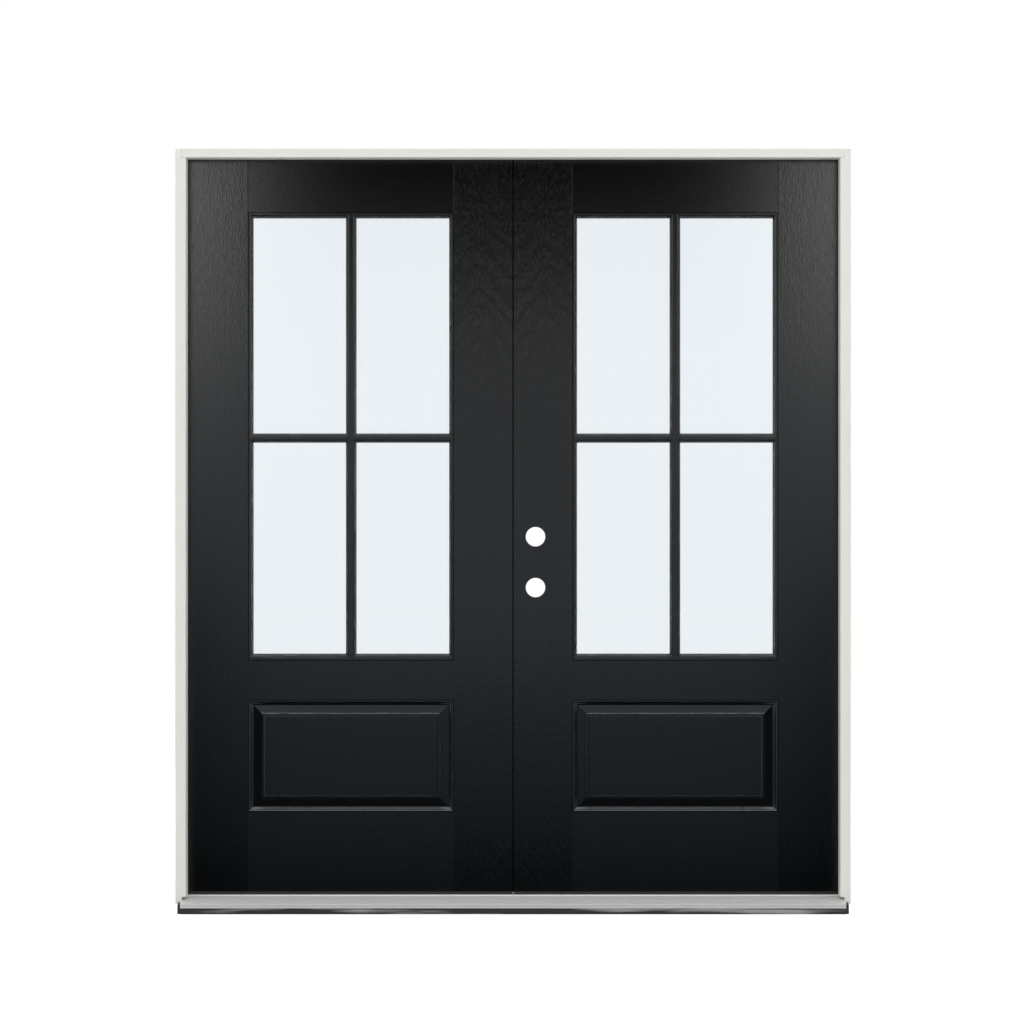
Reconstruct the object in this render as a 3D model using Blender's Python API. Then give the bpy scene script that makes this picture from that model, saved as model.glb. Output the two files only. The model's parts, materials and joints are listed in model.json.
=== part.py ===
"""A pair of fiberglass entry doors in their frame, in metres.

X runs along the doorway with 0 at the seam between the leaves, -Y is the exterior,
and Z is up from the underside of the sill. A leaf is laid out by u, the distance
from the seam, and side is -1 for the passive left leaf and +1 for the active right one.
"""

import math
from itertools import product

import bmesh
import bpy
from mathutils import Matrix, Vector

# Fits
GAP = 0.0003  # between pieces that touch
REVEAL = 0.0032  # round a closed leaf
OVERCUT = 0.01  # how far a cutter runs past the face that it opens

# Frame
FRAME_HALF_WIDTH = 0.9242
FRAME_HEIGHT = 2.0908
JAMB_OUTER_Y = -0.058  # exterior edge of the jambs
JAMB_INNER_Y = 0.058  # interior edge, flush with the leaves
STOP_Y = 0.006  # shoulder of the stop, where the weatherstrip seats
JAMB_BOARD = 0.017  # thickness behind the leaf
STOP_RISE = 0.0119  # how far the stop stands out from the rabbet
HEAD_BOARD = 0.0116
HEAD_STOP_RISE = 0.012
JAMB_FOOT_Z = 0.025
STOP_FOOT_Z = 0.0437
ARRIS = 0.0015
KERF_INSET = 0.0016  # from the rabbet face
KERF_WIDTH = 0.003
KERF_DEPTH = 0.009

# Weatherstrip, measured out from the rabbet face
BULB = (0.0004, 0.0106)
BULB_CORNER = 0.003
BARB = 0.0018
BARB_CLEARANCE = 0.0006  # between the barb and its kerf
PAD_Y = (0.0155, 0.052)
PAD_Z = (0.0465, 0.0965)
PAD_THICKNESS = 0.0023
PAD_CORNER = 0.010

# Leaves
LEAF_THICKNESS = 0.0445
SEAM_U = REVEAL / 2
LEAF_BOTTOM_Z = 0.0515
RABBET_U = FRAME_HALF_WIDTH - JAMB_BOARD
SOFFIT_Z = FRAME_HEIGHT - HEAD_BOARD
LEAF_HINGE_U = RABBET_U - REVEAL
LEAF_TOP_Z = SOFFIT_Z - REVEAL
LEAF_FRONT_Y = JAMB_INNER_Y - LEAF_THICKNESS
LEAF_MID_Y = (LEAF_FRONT_Y + JAMB_INNER_Y) / 2
SKIN = 0.0025
STILE_WIDTH = 0.045
TOP_RAIL = 0.045
BOTTOM_RAIL = 0.060
MEETING_SEAL_Y = (0.0512, 0.0548)
MEETING_SEAL_TIP_U = 0.0002
MEETING_SEAL_CORNER = 0.0005

# Glazed opening and panel, one above the other
BAY_U = (0.16305, 0.73055)
LITE_Z = (0.687, 1.923)
PANEL_Z = (0.2704, 0.5796)
SIGHT_U = (0.1763, 0.7173)
SIGHT_Z = (0.7055, 1.9085)
UPRIGHT_BAR = 0.0283
CROSS_BAR = 0.025
CROSS_BAR_Z = 1.301
STICKING = 0.0095  # width of the moulded edge round a pane
LITE_FRAME_DEPTH = 0.0093
SHADOW_GROOVE = 0.0022
FLANGE_Y = 0.0035  # depth of the groove round a lite frame
PANE = 0.0033
GLASS_INSET = 0.003
SPACER_WIDTH = 0.0085

# Panel moulding, as (distance in from the outer edge, depth under the face)
PANEL_PROFILE = (
    (0.0000, 0.0000),
    (0.0008, 0.0012),
    (0.0016, 0.0004),
    (0.0040, 0.0004),
    (0.0060, 0.0022),
    (0.0088, 0.0058),
    (0.0120, 0.0086),
    (0.0150, 0.0095),
    (0.0170, 0.0092),
    (0.0335, 0.0052),
    (0.0360, 0.0042),
    (0.0385, 0.0018),
    (0.0405, 0.0012),
    (0.0450, 0.0012),
    (0.0465, 0.0003),
)
# Edge of a pane's opening, measured the same way from the flat of the bar
STICKING_PROFILE = (
    (0.0006, 0.0008),
    (0.0022, 0.0010),
    (0.0040, 0.0020),
    (0.0060, 0.0040),
    (0.0076, 0.0066),
    (0.0083, 0.0078),
    (STICKING, 0.0080),
)

# Lock preparation of the active leaf
BORE_Z = (1.0288, 0.8884)
BACKSET = 0.0603
BORE_RADIUS = 0.027
EDGE_BORE_RADIUS = 0.0127
FACE_BORE_SIDES = 40
EDGE_BORE_SIDES = 24
FACEPLATE = (0.0254, 0.0572)  # width and height of the shallow edge mortise
FACEPLATE_DEPTH = 0.0025
LOCK_BLOCK_WIDTH = 0.110
LOCK_BLOCK_Z = (0.800, 1.118)

# Strikes on the passive leaf
STRIKE = (0.028, 0.0572)
STRIKE_THICKNESS = 0.0016
STRIKE_HOLE = (0.016, 0.025)
STRIKE_POCKET = 0.022

# Flush bolts in the passive leaf's edge
BOLT_U = 0.014
BOLT_RADIUS = 0.0040
BOLT_BORE_RADIUS = 0.0046
BOLT_PLATE = (0.022, 0.170)
BOLT_PLATE_THICKNESS = 0.002
BOLT_PLATE_OFFSET = 0.300  # centre of the plate from the end of the leaf
BOLT_POCKET_DEPTH = 0.0185
BOLT_POCKET = (0.015, 0.120)
BOLT_THROW = {"top": 0.014, "bottom": 0.019}
BOLT_SETBACK = 0.0015  # retracted end of the rod inside the leaf
END_STRIKE = 0.0015  # thickness of the plates that the rods enter
END_STRIKE_SIZE = (0.044, 0.025)
END_STRIKE_CORNER = 0.002
END_STRIKE_HOLE_RADIUS = 0.0072
HEAD_MORTISE = 0.022  # square hole over the upper plate, open to the top of the frame
SILL_POCKET_Z = 0.030
BOLT_TAIL = 0.020  # length of rod past the middle of its plate
BOLT_SLOT_MARGIN = 0.0006
THUMB_PIECE = (0.0064, 0.018)
THUMB_INSET = 0.0002  # from the leaf's edge to the crest of a rib
THUMB_ROOT = 0.002  # depth of its foot behind the plate
THUMB_RIBS = 5
THUMB_RIB_DEPTH = 0.0009
THUMB_RIB_SHARES = (0.55, 0.65, 0.90)  # of the pitch: end of a crest, and both ends of its valley
SLIDE_BLOCK = (0.010, 0.032)
SLIDE_CLEARANCE = 0.0006

# Hinges
HINGE_Z = (0.3305, 1.114, 1.898)
HINGE_HEIGHT = 0.1016
HINGE_PLATE = 0.0022
HINGE_PLATE_Y = (0.026, 0.0576)
HINGE_CORNER = 0.00635
HINGE_MORTISE = HINGE_PLATE + GAP
HINGE_AXIS_Y = 0.065
HINGE_AXIS_U = (LEAF_HINGE_U + RABBET_U) / 2
KNUCKLES = 5
KNUCKLE_RADIUS = 0.0064
KNUCKLE_GAP = 0.0004
KNUCKLE_INSET = 0.0001  # each side of the plate that its neck grows from
KNUCKLE_NECK_Y = 0.052
PIN_RADIUS = 0.003
PIN_SIDES = 12
PIN_OVERRUN = 0.001
PIN_CLEARANCE = 0.0003
PIN_HEAD_RADIUS = 0.0052
PIN_HEAD = 0.003
PIN_HEAD_OVERLAP = 0.0004
ROUND_SIDES = 16

# Sill
SILL_HALF_WIDTH = 0.9160
NOSE_HALF_WIDTH = 0.9083
NOSE_Y = -0.093
NOSE_TOP_Z = 0.0286
NOSE_STEP = 0.0022  # how far the band under the nose is set back
DECK_BACK_Y = 0.0110
DECK_BACK_Z = 0.0429
DECK_SHEET = 0.0018
DECK_WEB = (0.0027, 0.0042)  # thickness at the nose and behind the rail
DECK_LIP = 0.0085  # height of the back edge
GROOVE_Y = -0.0645
BASE_DROP = 0.0034  # of the base's front under the tread
BASE_RAMP_END_Y = -0.020
BASE_ARRIS = 0.006
CAP_Y = (0.0113, 0.0520)
CAP_Z = (0.0340, 0.0433)
SWEEP_Y = (0.0142, 0.0573)
SWEEP_FIN_Y = (0.0225, 0.0290, 0.0430, 0.0500)
SWEEP_TIP_Z = 0.0439
SWEEP_WALL = 0.0016
SWEEP_FIN_LEAN = 0.0012
SWEEP_FIN_TIP = 0.0008
CAP_CORNER = 0.003

# Face of the nose, as (distance behind its front, height)
NOSE_PROFILE = (
    (0.0000, 0.0000),
    (0.0000, 0.0040),
    (NOSE_STEP, 0.0052),
    (NOSE_STEP, 0.0155),
    (0.0004, 0.0164),
    (0.0000, 0.0176),
    (0.0006, 0.0188),
    (0.0004, 0.0256),
    (0.0012, 0.0276),
    (0.0032, 0.0289),
)
# Groove in the tread, as (distance behind its front, depth under the tread)
GROOVE_PROFILE = ((0.0000, 0.0000), (0.0006, 0.0008), (0.0030, 0.0004), (0.0036, 0.0000))
# Rail behind the tread, as (distance before the back edge, depth under its top)
RAIL_PROFILE = (
    (0.0120, 0.0020),
    (0.0100, 0.0030),
    (0.0050, 0.0022),
    (0.0035, 0.0000),
    (0.0000, 0.0000),
)

# Name, sRGB colour, roughness, metallic
FINISHES = {
    "composite_jamb": ((0.87, 0.87, 0.85), 0.55, 0.0),
    "fiberglass_skin": ((0.20, 0.20, 0.20), 0.55, 0.0),
    "stile_wood": ((0.62, 0.47, 0.31), 0.70, 0.0),
    "foam": ((0.90, 0.84, 0.62), 0.90, 0.0),
    "glazing_frame": ((0.19, 0.19, 0.19), 0.50, 0.0),
    "glass": ((0.92, 0.95, 0.96), 0.03, 0.0),
    "spacer": ((0.70, 0.71, 0.72), 0.35, 1.0),
    "rubber": ((0.07, 0.07, 0.07), 0.80, 0.0),
    "weatherstrip": ((0.16, 0.13, 0.11), 0.85, 0.0),
    "mill_aluminium": ((0.80, 0.80, 0.79), 0.35, 1.0),
    "sill_composite": ((0.05, 0.05, 0.05), 0.70, 0.0),
    "threshold_cap": ((0.45, 0.42, 0.38), 0.60, 0.0),
    "satin_nickel": ((0.70, 0.68, 0.64), 0.32, 1.0),
}
FINISH = {}
SMOOTH_ANGLE = math.radians(35)


def srgb_to_linear(value):
    if value <= 0.04045:
        return value / 12.92
    return ((value + 0.055) / 1.055) ** 2.4


def make_finishes():
    for name, (colour, roughness, metallic) in FINISHES.items():
        material = bpy.data.materials.new(name)
        material.use_nodes = True
        shader = material.node_tree.nodes["Principled BSDF"]
        shader.inputs["Base Color"].default_value = (*map(srgb_to_linear, colour), 1.0)
        shader.inputs["Roughness"].default_value = roughness
        shader.inputs["Metallic"].default_value = metallic
        FINISH[name] = material


# ---------------------------------------------------------------- shapes


def rectangle(low_a, high_a, low_b, high_b):
    return [(low_a, low_b), (high_a, low_b), (high_a, high_b), (low_a, high_b)]


def circle(centre_a, centre_b, radius, sides=ROUND_SIDES):
    turns = [2 * math.pi * (i + 0.5) / sides for i in range(sides)]
    return [(centre_a + radius * math.cos(t), centre_b + radius * math.sin(t)) for t in turns]


def rounded(outline, radius, corners, steps=3):
    """The outline with an arc of this radius at each of the corners, by index."""
    points = []
    for i, corner in enumerate(outline):
        if i not in corners:
            points.append(corner)
            continue
        here = Vector(corner)
        before = (Vector(outline[i - 1]) - here).normalized()
        after = (Vector(outline[(i + 1) % len(outline)]) - here).normalized()
        half = before.angle(after) / 2
        reach = radius / math.tan(half)
        centre = here + (before + after).normalized() * radius / math.sin(half)
        first = here + before * reach - centre
        last = here + after * reach - centre
        for k in range(steps + 1):
            arm = first.slerp(last, k / steps)
            points.append(tuple(centre + arm.normalized() * radius))
    return points


def extruded(outline, axis, start, end):
    """A solid of the outline, drawn in the plane square to the axis, from start to end."""
    place = {
        "X": lambda a, b: (start, a, b),
        "Y": lambda a, b: (a, start, b),
        "Z": lambda a, b: (a, b, start),
    }[axis]
    direction = {"X": Vector((1, 0, 0)), "Y": Vector((0, 1, 0)), "Z": Vector((0, 0, 1))}[axis]
    solid = bmesh.new()
    face = solid.faces.new([solid.verts.new(place(a, b)) for a, b in outline])
    grown = bmesh.ops.extrude_face_region(solid, geom=[face])["geom"]
    moved = [v for v in grown if isinstance(v, bmesh.types.BMVert)]
    bmesh.ops.translate(solid, verts=moved, vec=direction * (end - start))
    return solid


def block(side, u, y, z):
    """A square block between two values of u, y and z."""
    return extruded(rectangle(side * u[0], side * u[1], *y), "Z", *z)


def around(middle, size):
    return (middle - size / 2, middle + size / 2)


def join_loops(solid, first, second):
    for i in range(len(first)):
        j = (i + 1) % len(first)
        solid.faces.new((first[i], first[j], second[j], second[i]))


def sheet_face(solid, side, us, zs, y, inward, cells):
    """One face of a sheet, on a grid of lines. cells holds the moulded ones, as
    (profile, filled). Gives the rim and the edge of each open cell."""
    grid = {
        (i, j): solid.verts.new((side * u, y, z))
        for (i, u), (j, z) in product(enumerate(us), enumerate(zs))
    }
    last_i = len(us) - 1
    last_j = len(zs) - 1
    edges = {}
    for i, j in product(range(last_i), range(last_j)):
        loop = [grid[i, j], grid[i + 1, j], grid[i + 1, j + 1], grid[i, j + 1]]
        profile, filled = cells.get((i, j), ((), True))
        for inset, depth in profile:
            corners = rectangle(us[i] + inset, us[i + 1] - inset, zs[j] + inset, zs[j + 1] - inset)
            inner = [solid.verts.new((side * u, y + inward * depth, z)) for u, z in corners]
            join_loops(solid, loop, inner)
            loop = inner
        if filled:
            solid.faces.new(loop)
        else:
            edges[i, j] = loop
    rim = [grid[i, 0] for i in range(last_i)]
    rim += [grid[last_i, j] for j in range(last_j)]
    rim += [grid[i, last_j] for i in range(last_i, 0, -1)]
    rim += [grid[0, j] for j in range(last_j, 0, -1)]
    return rim, edges


def sheet(side, front, back, step_y=None):
    """A closed sheet from its two faces. With step_y, the rim steps from the front
    face's outline to the back face's at that depth."""
    solid = bmesh.new()
    front_rim, front_edges = sheet_face(solid, side, *front)
    back_rim, back_edges = sheet_face(solid, side, *back)
    rims = [front_rim]
    if step_y is not None:
        for rim in (front_rim, back_rim):
            rims.append([solid.verts.new((v.co.x, step_y, v.co.z)) for v in rim])
    rims.append(back_rim)
    for first, second in zip(rims, rims[1:]):
        join_loops(solid, first, second)
    for cell, edge in front_edges.items():
        join_loops(solid, edge, back_edges[cell])
    return solid


# ---------------------------------------------------------------- objects


def link(name, solid, parent):
    bmesh.ops.recalc_face_normals(solid, faces=solid.faces)
    mesh = bpy.data.meshes.new(name)
    solid.to_mesh(mesh)
    solid.free()
    obj = bpy.data.objects.new(name, mesh)
    bpy.context.scene.collection.objects.link(obj)
    if parent is not None:
        obj.parent = parent
        obj.matrix_parent_inverse = Matrix.Translation(-parent.location)
    return obj


def piece(name, solid, finish, parent, smooth=False):
    obj = link(name, solid, parent)
    obj.data.materials.append(FINISH[finish])
    if smooth:
        obj.data.shade_smooth()
        obj.data.set_sharp_from_angle(angle=SMOOTH_ANGLE)
    return obj


def cutter(name, solid, parent=None):
    obj = link("cut_" + name, solid, parent)
    obj.hide_render = True
    obj.display_type = "WIRE"
    return obj


def combine(obj, other, operation):
    modifier = obj.modifiers.new(other.name, "BOOLEAN")
    modifier.operation = operation
    modifier.solver = "EXACT"
    modifier.object = other


def cut(obj, *tools):
    for tool in tools:
        combine(obj, tool, "DIFFERENCE")


def add(obj, *shapes):
    """Fuses each solid to the object."""
    for i, shape in enumerate(shapes):
        combine(obj, cutter(f"{obj.name}_add_{i}", shape, obj.parent), "UNION")


def pivot(name, location):
    empty = bpy.data.objects.new(name, None)
    empty.location = location
    bpy.context.scene.collection.objects.link(empty)
    return empty


# ---------------------------------------------------------------- frame


def make_side_jamb(name, side):
    outer = FRAME_HALF_WIDTH
    stop = RABBET_U - STOP_RISE
    kerf_far = RABBET_U - KERF_INSET
    kerf_near = kerf_far - KERF_WIDTH
    kerf_y = STOP_Y - KERF_DEPTH
    outline = [
        (outer, JAMB_OUTER_Y),
        (stop, JAMB_OUTER_Y),
        (stop, STOP_Y),
        (kerf_near, STOP_Y),
        (kerf_near, kerf_y),
        (kerf_far, kerf_y),
        (kerf_far, STOP_Y),
        (RABBET_U, STOP_Y),
        (RABBET_U, JAMB_INNER_Y),
        (outer, JAMB_INNER_Y),
    ]
    outline = [(side * u, y) for u, y in rounded(outline, ARRIS, (1, 2, 8), steps=2)]
    jamb = piece(name, extruded(outline, "Z", JAMB_FOOT_Z, FRAME_HEIGHT), "composite_jamb", None)
    reach = (stop - OVERCUT, RABBET_U)
    depth = (JAMB_OUTER_Y - OVERCUT, STOP_Y + OVERCUT)
    foot = (0.0, STOP_FOOT_Z)
    head = (SOFFIT_Z - HEAD_STOP_RISE - GAP, FRAME_HEIGHT + OVERCUT)
    cut(jamb, cutter(name + "_foot", block(side, reach, depth, foot)))
    cut(jamb, cutter(name + "_head", block(side, reach, depth, head)))
    return jamb


def make_head_jamb():
    stop = SOFFIT_Z - HEAD_STOP_RISE
    kerf_far = SOFFIT_Z - KERF_INSET
    kerf_near = kerf_far - KERF_WIDTH
    kerf_y = STOP_Y - KERF_DEPTH
    outline = [
        (JAMB_OUTER_Y, FRAME_HEIGHT),
        (JAMB_OUTER_Y, stop),
        (STOP_Y, stop),
        (STOP_Y, kerf_near),
        (kerf_y, kerf_near),
        (kerf_y, kerf_far),
        (STOP_Y, kerf_far),
        (STOP_Y, SOFFIT_Z),
        (JAMB_INNER_Y, SOFFIT_Z),
        (JAMB_INNER_Y, FRAME_HEIGHT),
    ]
    half = RABBET_U - GAP
    solid = extruded(rounded(outline, ARRIS, (1, 2, 8), steps=2), "X", -half, half)
    return piece("head_jamb", solid, "composite_jamb", None)


def weatherstrip_outline():
    """Bulb and barb of the weatherstrip, as (distance from the rabbet face, y)."""
    bulb_front = STOP_Y + GAP
    bulb_back = LEAF_FRONT_Y - GAP
    barb_near = KERF_INSET + BARB_CLEARANCE
    barb_far = barb_near + BARB
    barb_y = STOP_Y - KERF_DEPTH + BARB_CLEARANCE
    bulb = [
        (barb_far, bulb_front),
        (BULB[1], bulb_front),
        (BULB[1], bulb_back),
        (BULB[0], bulb_back),
        (BULB[0], bulb_front),
        (barb_near, bulb_front),
        (barb_near, barb_y),
        (barb_far, barb_y),
    ]
    return rounded(bulb, BULB_CORNER, (1, 2, 3), steps=4)


def make_weatherstrips():
    for name, side in (("weatherstrip_left", -1), ("weatherstrip_right", 1)):
        outline = [(side * (RABBET_U - d), y) for d, y in weatherstrip_outline()]
        top = SOFFIT_Z - HEAD_STOP_RISE - GAP
        piece(name, extruded(outline, "Z", STOP_FOOT_Z + GAP, top), "weatherstrip", None, True)
    outline = [(y, SOFFIT_Z - d) for d, y in weatherstrip_outline()]
    half = RABBET_U - 2 * GAP
    piece("weatherstrip_head", extruded(outline, "X", -half, half), "weatherstrip", None, True)


def make_corner_pads():
    for name, side in (("corner_pad_left", -1), ("corner_pad_right", 1)):
        outline = rounded(rectangle(*PAD_Y, *PAD_Z), PAD_CORNER, (2,), steps=4)
        near = side * (RABBET_U - GAP)
        far = side * (RABBET_U - GAP - PAD_THICKNESS)
        piece(name, extruded(outline, "X", near, far), "weatherstrip", None)


def deck_z(y):
    """Height of the sloped tread at this depth."""
    share = (y - NOSE_Y) / (DECK_BACK_Y - NOSE_Y)
    return NOSE_TOP_Z + share * (DECK_BACK_Z - NOSE_TOP_Z)


def nose_wall_y():
    """Back of the sheet behind the nose."""
    return NOSE_Y + NOSE_STEP + DECK_SHEET


def deck_outline():
    """The aluminium sheet: a stepped nose, a grooved tread and a rail at the back."""
    back = DECK_BACK_Y
    inner = nose_wall_y()
    nose = [(NOSE_Y + behind, z) for behind, z in NOSE_PROFILE]
    groove = [(GROOVE_Y + behind, deck_z(GROOVE_Y + behind) - deep) for behind, deep in GROOVE_PROFILE]
    rail = [(back - before, DECK_BACK_Z - deep) for before, deep in RAIL_PROFILE]
    under = [
        (back, DECK_BACK_Z - DECK_LIP),
        (back - DECK_SHEET, DECK_BACK_Z - DECK_LIP),
        (back - DECK_SHEET, DECK_BACK_Z - DECK_WEB[1]),
        (inner, deck_z(inner) - DECK_WEB[0]),
    ]
    return [(inner, 0.0), *nose, *groove, *rail, *under]


def base_outline():
    """The moulded base: a ramp under the tread, then a flat that the cap lies on."""
    front = nose_wall_y() + GAP
    flat = CAP_Z[0] - GAP
    outline = [
        (front, 0.0),
        (JAMB_INNER_Y, 0.0),
        (JAMB_INNER_Y, flat),
        (BASE_RAMP_END_Y, flat),
        (front, deck_z(front) - BASE_DROP),
    ]
    return rounded(outline, BASE_ARRIS, (4,))


def make_sill():
    half = NOSE_HALF_WIDTH
    deck = piece("sill_deck", extruded(deck_outline(), "X", -half, half), "mill_aluminium", None)
    half = SILL_HALF_WIDTH
    base = piece("sill_base", extruded(base_outline(), "X", -half, half), "sill_composite", None)
    for name, side in (("left", -1), ("right", 1)):
        seat = block(
            side,
            (RABBET_U - GAP, SILL_HALF_WIDTH + OVERCUT),
            (JAMB_OUTER_Y - GAP, JAMB_INNER_Y + OVERCUT),
            (JAMB_FOOT_Z - GAP, DECK_BACK_Z + OVERCUT),
        )
        seat = cutter(f"jamb_seat_{name}", seat)
        cut(base, seat)
        cut(deck, seat)
    return base


def make_threshold_cap():
    outline = rounded(rectangle(*CAP_Y, *CAP_Z), CAP_CORNER, (2, 3))
    half = RABBET_U - GAP
    return piece("threshold_cap", extruded(outline, "X", -half, half), "threshold_cap", None)


def end_strike_outline(grow=0.0):
    outline = rectangle(
        *around(-BOLT_U, END_STRIKE_SIZE[0] + 2 * grow),
        *around(LEAF_MID_Y, END_STRIKE_SIZE[1] + 2 * grow),
    )
    return rounded(outline, END_STRIKE_CORNER, (0, 1, 2, 3), steps=2)


def make_end_strike(name, low_z, host, seat_reach):
    """The plate that a flush bolt's rod enters, let into its host."""
    z = (low_z, low_z + END_STRIKE)
    plate = piece(name, extruded(end_strike_outline(), "Z", *z), "satin_nickel", None)
    hole = circle(-BOLT_U, LEAF_MID_Y, END_STRIKE_HOLE_RADIUS)
    drill = cutter(name + "_hole", extruded(hole, "Z", z[0] - OVERCUT, z[1] + OVERCUT))
    cut(plate, drill)
    seat = extruded(end_strike_outline(GAP), "Z", *seat_reach)
    cut(host, cutter(name + "_seat", seat))


def make_head_strike(head):
    """A plate under the head, with a square mortise over it for the rod."""
    make_end_strike("head_strike", SOFFIT_Z, head, (SOFFIT_Z - OVERCUT, SOFFIT_Z + END_STRIKE + GAP))
    outline = rectangle(*around(-BOLT_U, HEAD_MORTISE), *around(LEAF_MID_Y, HEAD_MORTISE))
    mortise = extruded(outline, "Z", SOFFIT_Z, FRAME_HEIGHT + OVERCUT)
    cut(head, cutter("head_bolt_mortise", mortise))


def make_sill_strike(cap, base):
    """A plate in the threshold cap, over a hole drilled into the sill."""
    low = CAP_Z[1] - END_STRIKE
    make_end_strike("sill_strike", low, cap, (low - GAP, CAP_Z[1] + OVERCUT))
    hole = circle(-BOLT_U, LEAF_MID_Y, END_STRIKE_HOLE_RADIUS)
    drill = cutter("sill_bolt_hole", extruded(hole, "Z", SILL_POCKET_Z, CAP_Z[1] + OVERCUT))
    cut(cap, drill)
    cut(base, drill)


# ---------------------------------------------------------------- hinges


def plate_solid(side, z, near_u, far_u, end_y=HINGE_PLATE_Y[1], grow=0.0):
    """A hinge plate, or with grow the cutter for its mortise, that runs in to end_y."""
    reach = around(z, HINGE_HEIGHT + 2 * grow)
    outline = rounded(rectangle(HINGE_PLATE_Y[0] - grow, end_y, *reach), HINGE_CORNER, (0, 3))
    return extruded(outline, "X", side * near_u, side * far_u)


def knuckle_outline(side, near, far):
    """Barrel with the neck that runs down to its plate, from near to far off the axis."""
    low, high = sorted((near, far))
    low += KNUCKLE_INSET
    high -= KNUCKLE_INSET
    start = math.atan2(-math.sqrt(KNUCKLE_RADIUS**2 - high**2), high)
    end = math.atan2(-math.sqrt(KNUCKLE_RADIUS**2 - low**2), low) + 2 * math.pi
    arc = [start + (end - start) * i / ROUND_SIDES for i in range(ROUND_SIDES + 1)]
    points = [(KNUCKLE_RADIUS * math.cos(t), KNUCKLE_RADIUS * math.sin(t)) for t in arc]
    neck = KNUCKLE_NECK_Y - HINGE_AXIS_Y
    points += [(low, neck), (high, neck)]
    return [(side * (HINGE_AXIS_U + u), HINGE_AXIS_Y + y) for u, y in points]


def knuckle_spans(z, first):
    length = HINGE_HEIGHT / KNUCKLES
    base = z - HINGE_HEIGHT / 2
    return [
        (base + i * length + KNUCKLE_GAP / 2, base + (i + 1) * length - KNUCKLE_GAP / 2)
        for i in range(first, KNUCKLES, 2)
    ]


def hinge_pin(axis, ends):
    """The pin and its two heads."""
    head = circle(*axis, PIN_HEAD_RADIUS, PIN_SIDES)
    shaft = circle(*axis, PIN_RADIUS, PIN_SIDES)
    return (
        extruded(shaft, "Z", ends[0] - PIN_OVERRUN, ends[1] + PIN_OVERRUN),
        extruded(head, "Z", ends[0] - PIN_HEAD, ends[0] + PIN_HEAD_OVERLAP),
        extruded(head, "Z", ends[1] - PIN_HEAD_OVERLAP, ends[1] + PIN_HEAD),
    )


def hinge_half(name, side, z, near_u, far_u, first, parent):
    """A plate with every other knuckle, from the first."""
    half = piece(name, plate_solid(side, z, near_u, far_u), "satin_nickel", parent, True)
    neck = knuckle_outline(side, near_u - HINGE_AXIS_U, far_u - HINGE_AXIS_U)
    add(half, *[extruded(neck, "Z", *span) for span in knuckle_spans(z, first)])
    return half


def make_hinge(label, number, side, z, jamb, leaf_pieces, leaf):
    """One butt hinge: the jamb half carries the pin, and the leaf half turns on it."""
    axis = (side * HINGE_AXIS_U, HINGE_AXIS_Y)
    ends = around(z, HINGE_HEIGHT)
    open_y = JAMB_INNER_Y + OVERCUT
    jamb_half = hinge_half(f"hinge_jamb_half_{label}_{number}", side, z,
                           RABBET_U, RABBET_U + HINGE_PLATE, 0, None)
    for i, shape in enumerate(hinge_pin(axis, ends)):
        combine(jamb_half, cutter(f"pin_{label}_{number}_{i}", shape), "UNION")
    mortise = plate_solid(side, z, RABBET_U - OVERCUT, RABBET_U + HINGE_MORTISE, open_y, GAP)
    cut(jamb, cutter(f"mortise_{label}_jamb_{number}", mortise))

    leaf_half = hinge_half(f"hinge_leaf_half_{label}_{number}", side, z,
                           LEAF_HINGE_U, LEAF_HINGE_U - HINGE_PLATE, 1, leaf)
    bore = extruded(circle(*axis, PIN_RADIUS + PIN_CLEARANCE, PIN_SIDES), "Z", *ends)
    cut(leaf_half, cutter(f"pin_bore_{label}_{number}", bore, leaf))
    mortise = plate_solid(side, z, LEAF_HINGE_U + OVERCUT, LEAF_HINGE_U - HINGE_MORTISE, open_y, GAP)
    mortise = cutter(f"mortise_{label}_leaf_{number}", mortise, leaf)
    for host in leaf_pieces:
        cut(host, mortise)


# ---------------------------------------------------------------- leaves


def skin_face(us, y, inward):
    """Face of a skin or of the core behind it: the lite is open, the panel moulded."""
    zs = (LEAF_BOTTOM_Z, *PANEL_Z, *LITE_Z, LEAF_TOP_Z)
    cells = {(1, 1): (PANEL_PROFILE[1:], True), (1, 3): ((), False)}
    return (us, zs, y, inward, cells)


def make_skins(label, side, leaf):
    us = (SEAM_U, *BAY_U, LEAF_HINGE_U)
    made = []
    for name, y, inward in (("exterior", LEAF_FRONT_Y, 1), ("interior", JAMB_INNER_Y, -1)):
        front = skin_face(us, y, inward)
        back = skin_face(us, y + inward * SKIN, inward)
        made.append(piece(f"{label}_{name}_skin", sheet(side, front, back), "fiberglass_skin", leaf))
    return made


def core_depth():
    return (LEAF_FRONT_Y + SKIN + GAP, JAMB_INNER_Y - SKIN - GAP)


def make_lock_edge(side, leaf, depth):
    """The active leaf's meeting edge: a lock block between two lengths of stile."""
    stile = (SEAM_U, SEAM_U + STILE_WIDTH)
    spans = {
        "right_lock_stile_lower": (LEAF_BOTTOM_Z, LOCK_BLOCK_Z[0] - GAP),
        "right_lock_stile_upper": (LOCK_BLOCK_Z[1] + GAP, LEAF_TOP_Z),
    }
    for name, span in spans.items():
        piece(name, block(side, stile, depth, span), "stile_wood", leaf)
    end = SEAM_U + LOCK_BLOCK_WIDTH
    solid = block(side, (SEAM_U, end), depth, LOCK_BLOCK_Z)
    lock_block = piece("right_lock_block", solid, "stile_wood", leaf)
    recess = block(side, (SEAM_U, end + GAP), (depth[0] - OVERCUT, depth[1] + OVERCUT),
                   (LOCK_BLOCK_Z[0] - GAP, LOCK_BLOCK_Z[1] + GAP))
    return lock_block, cutter("lock_block_recess", recess, leaf)


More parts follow.
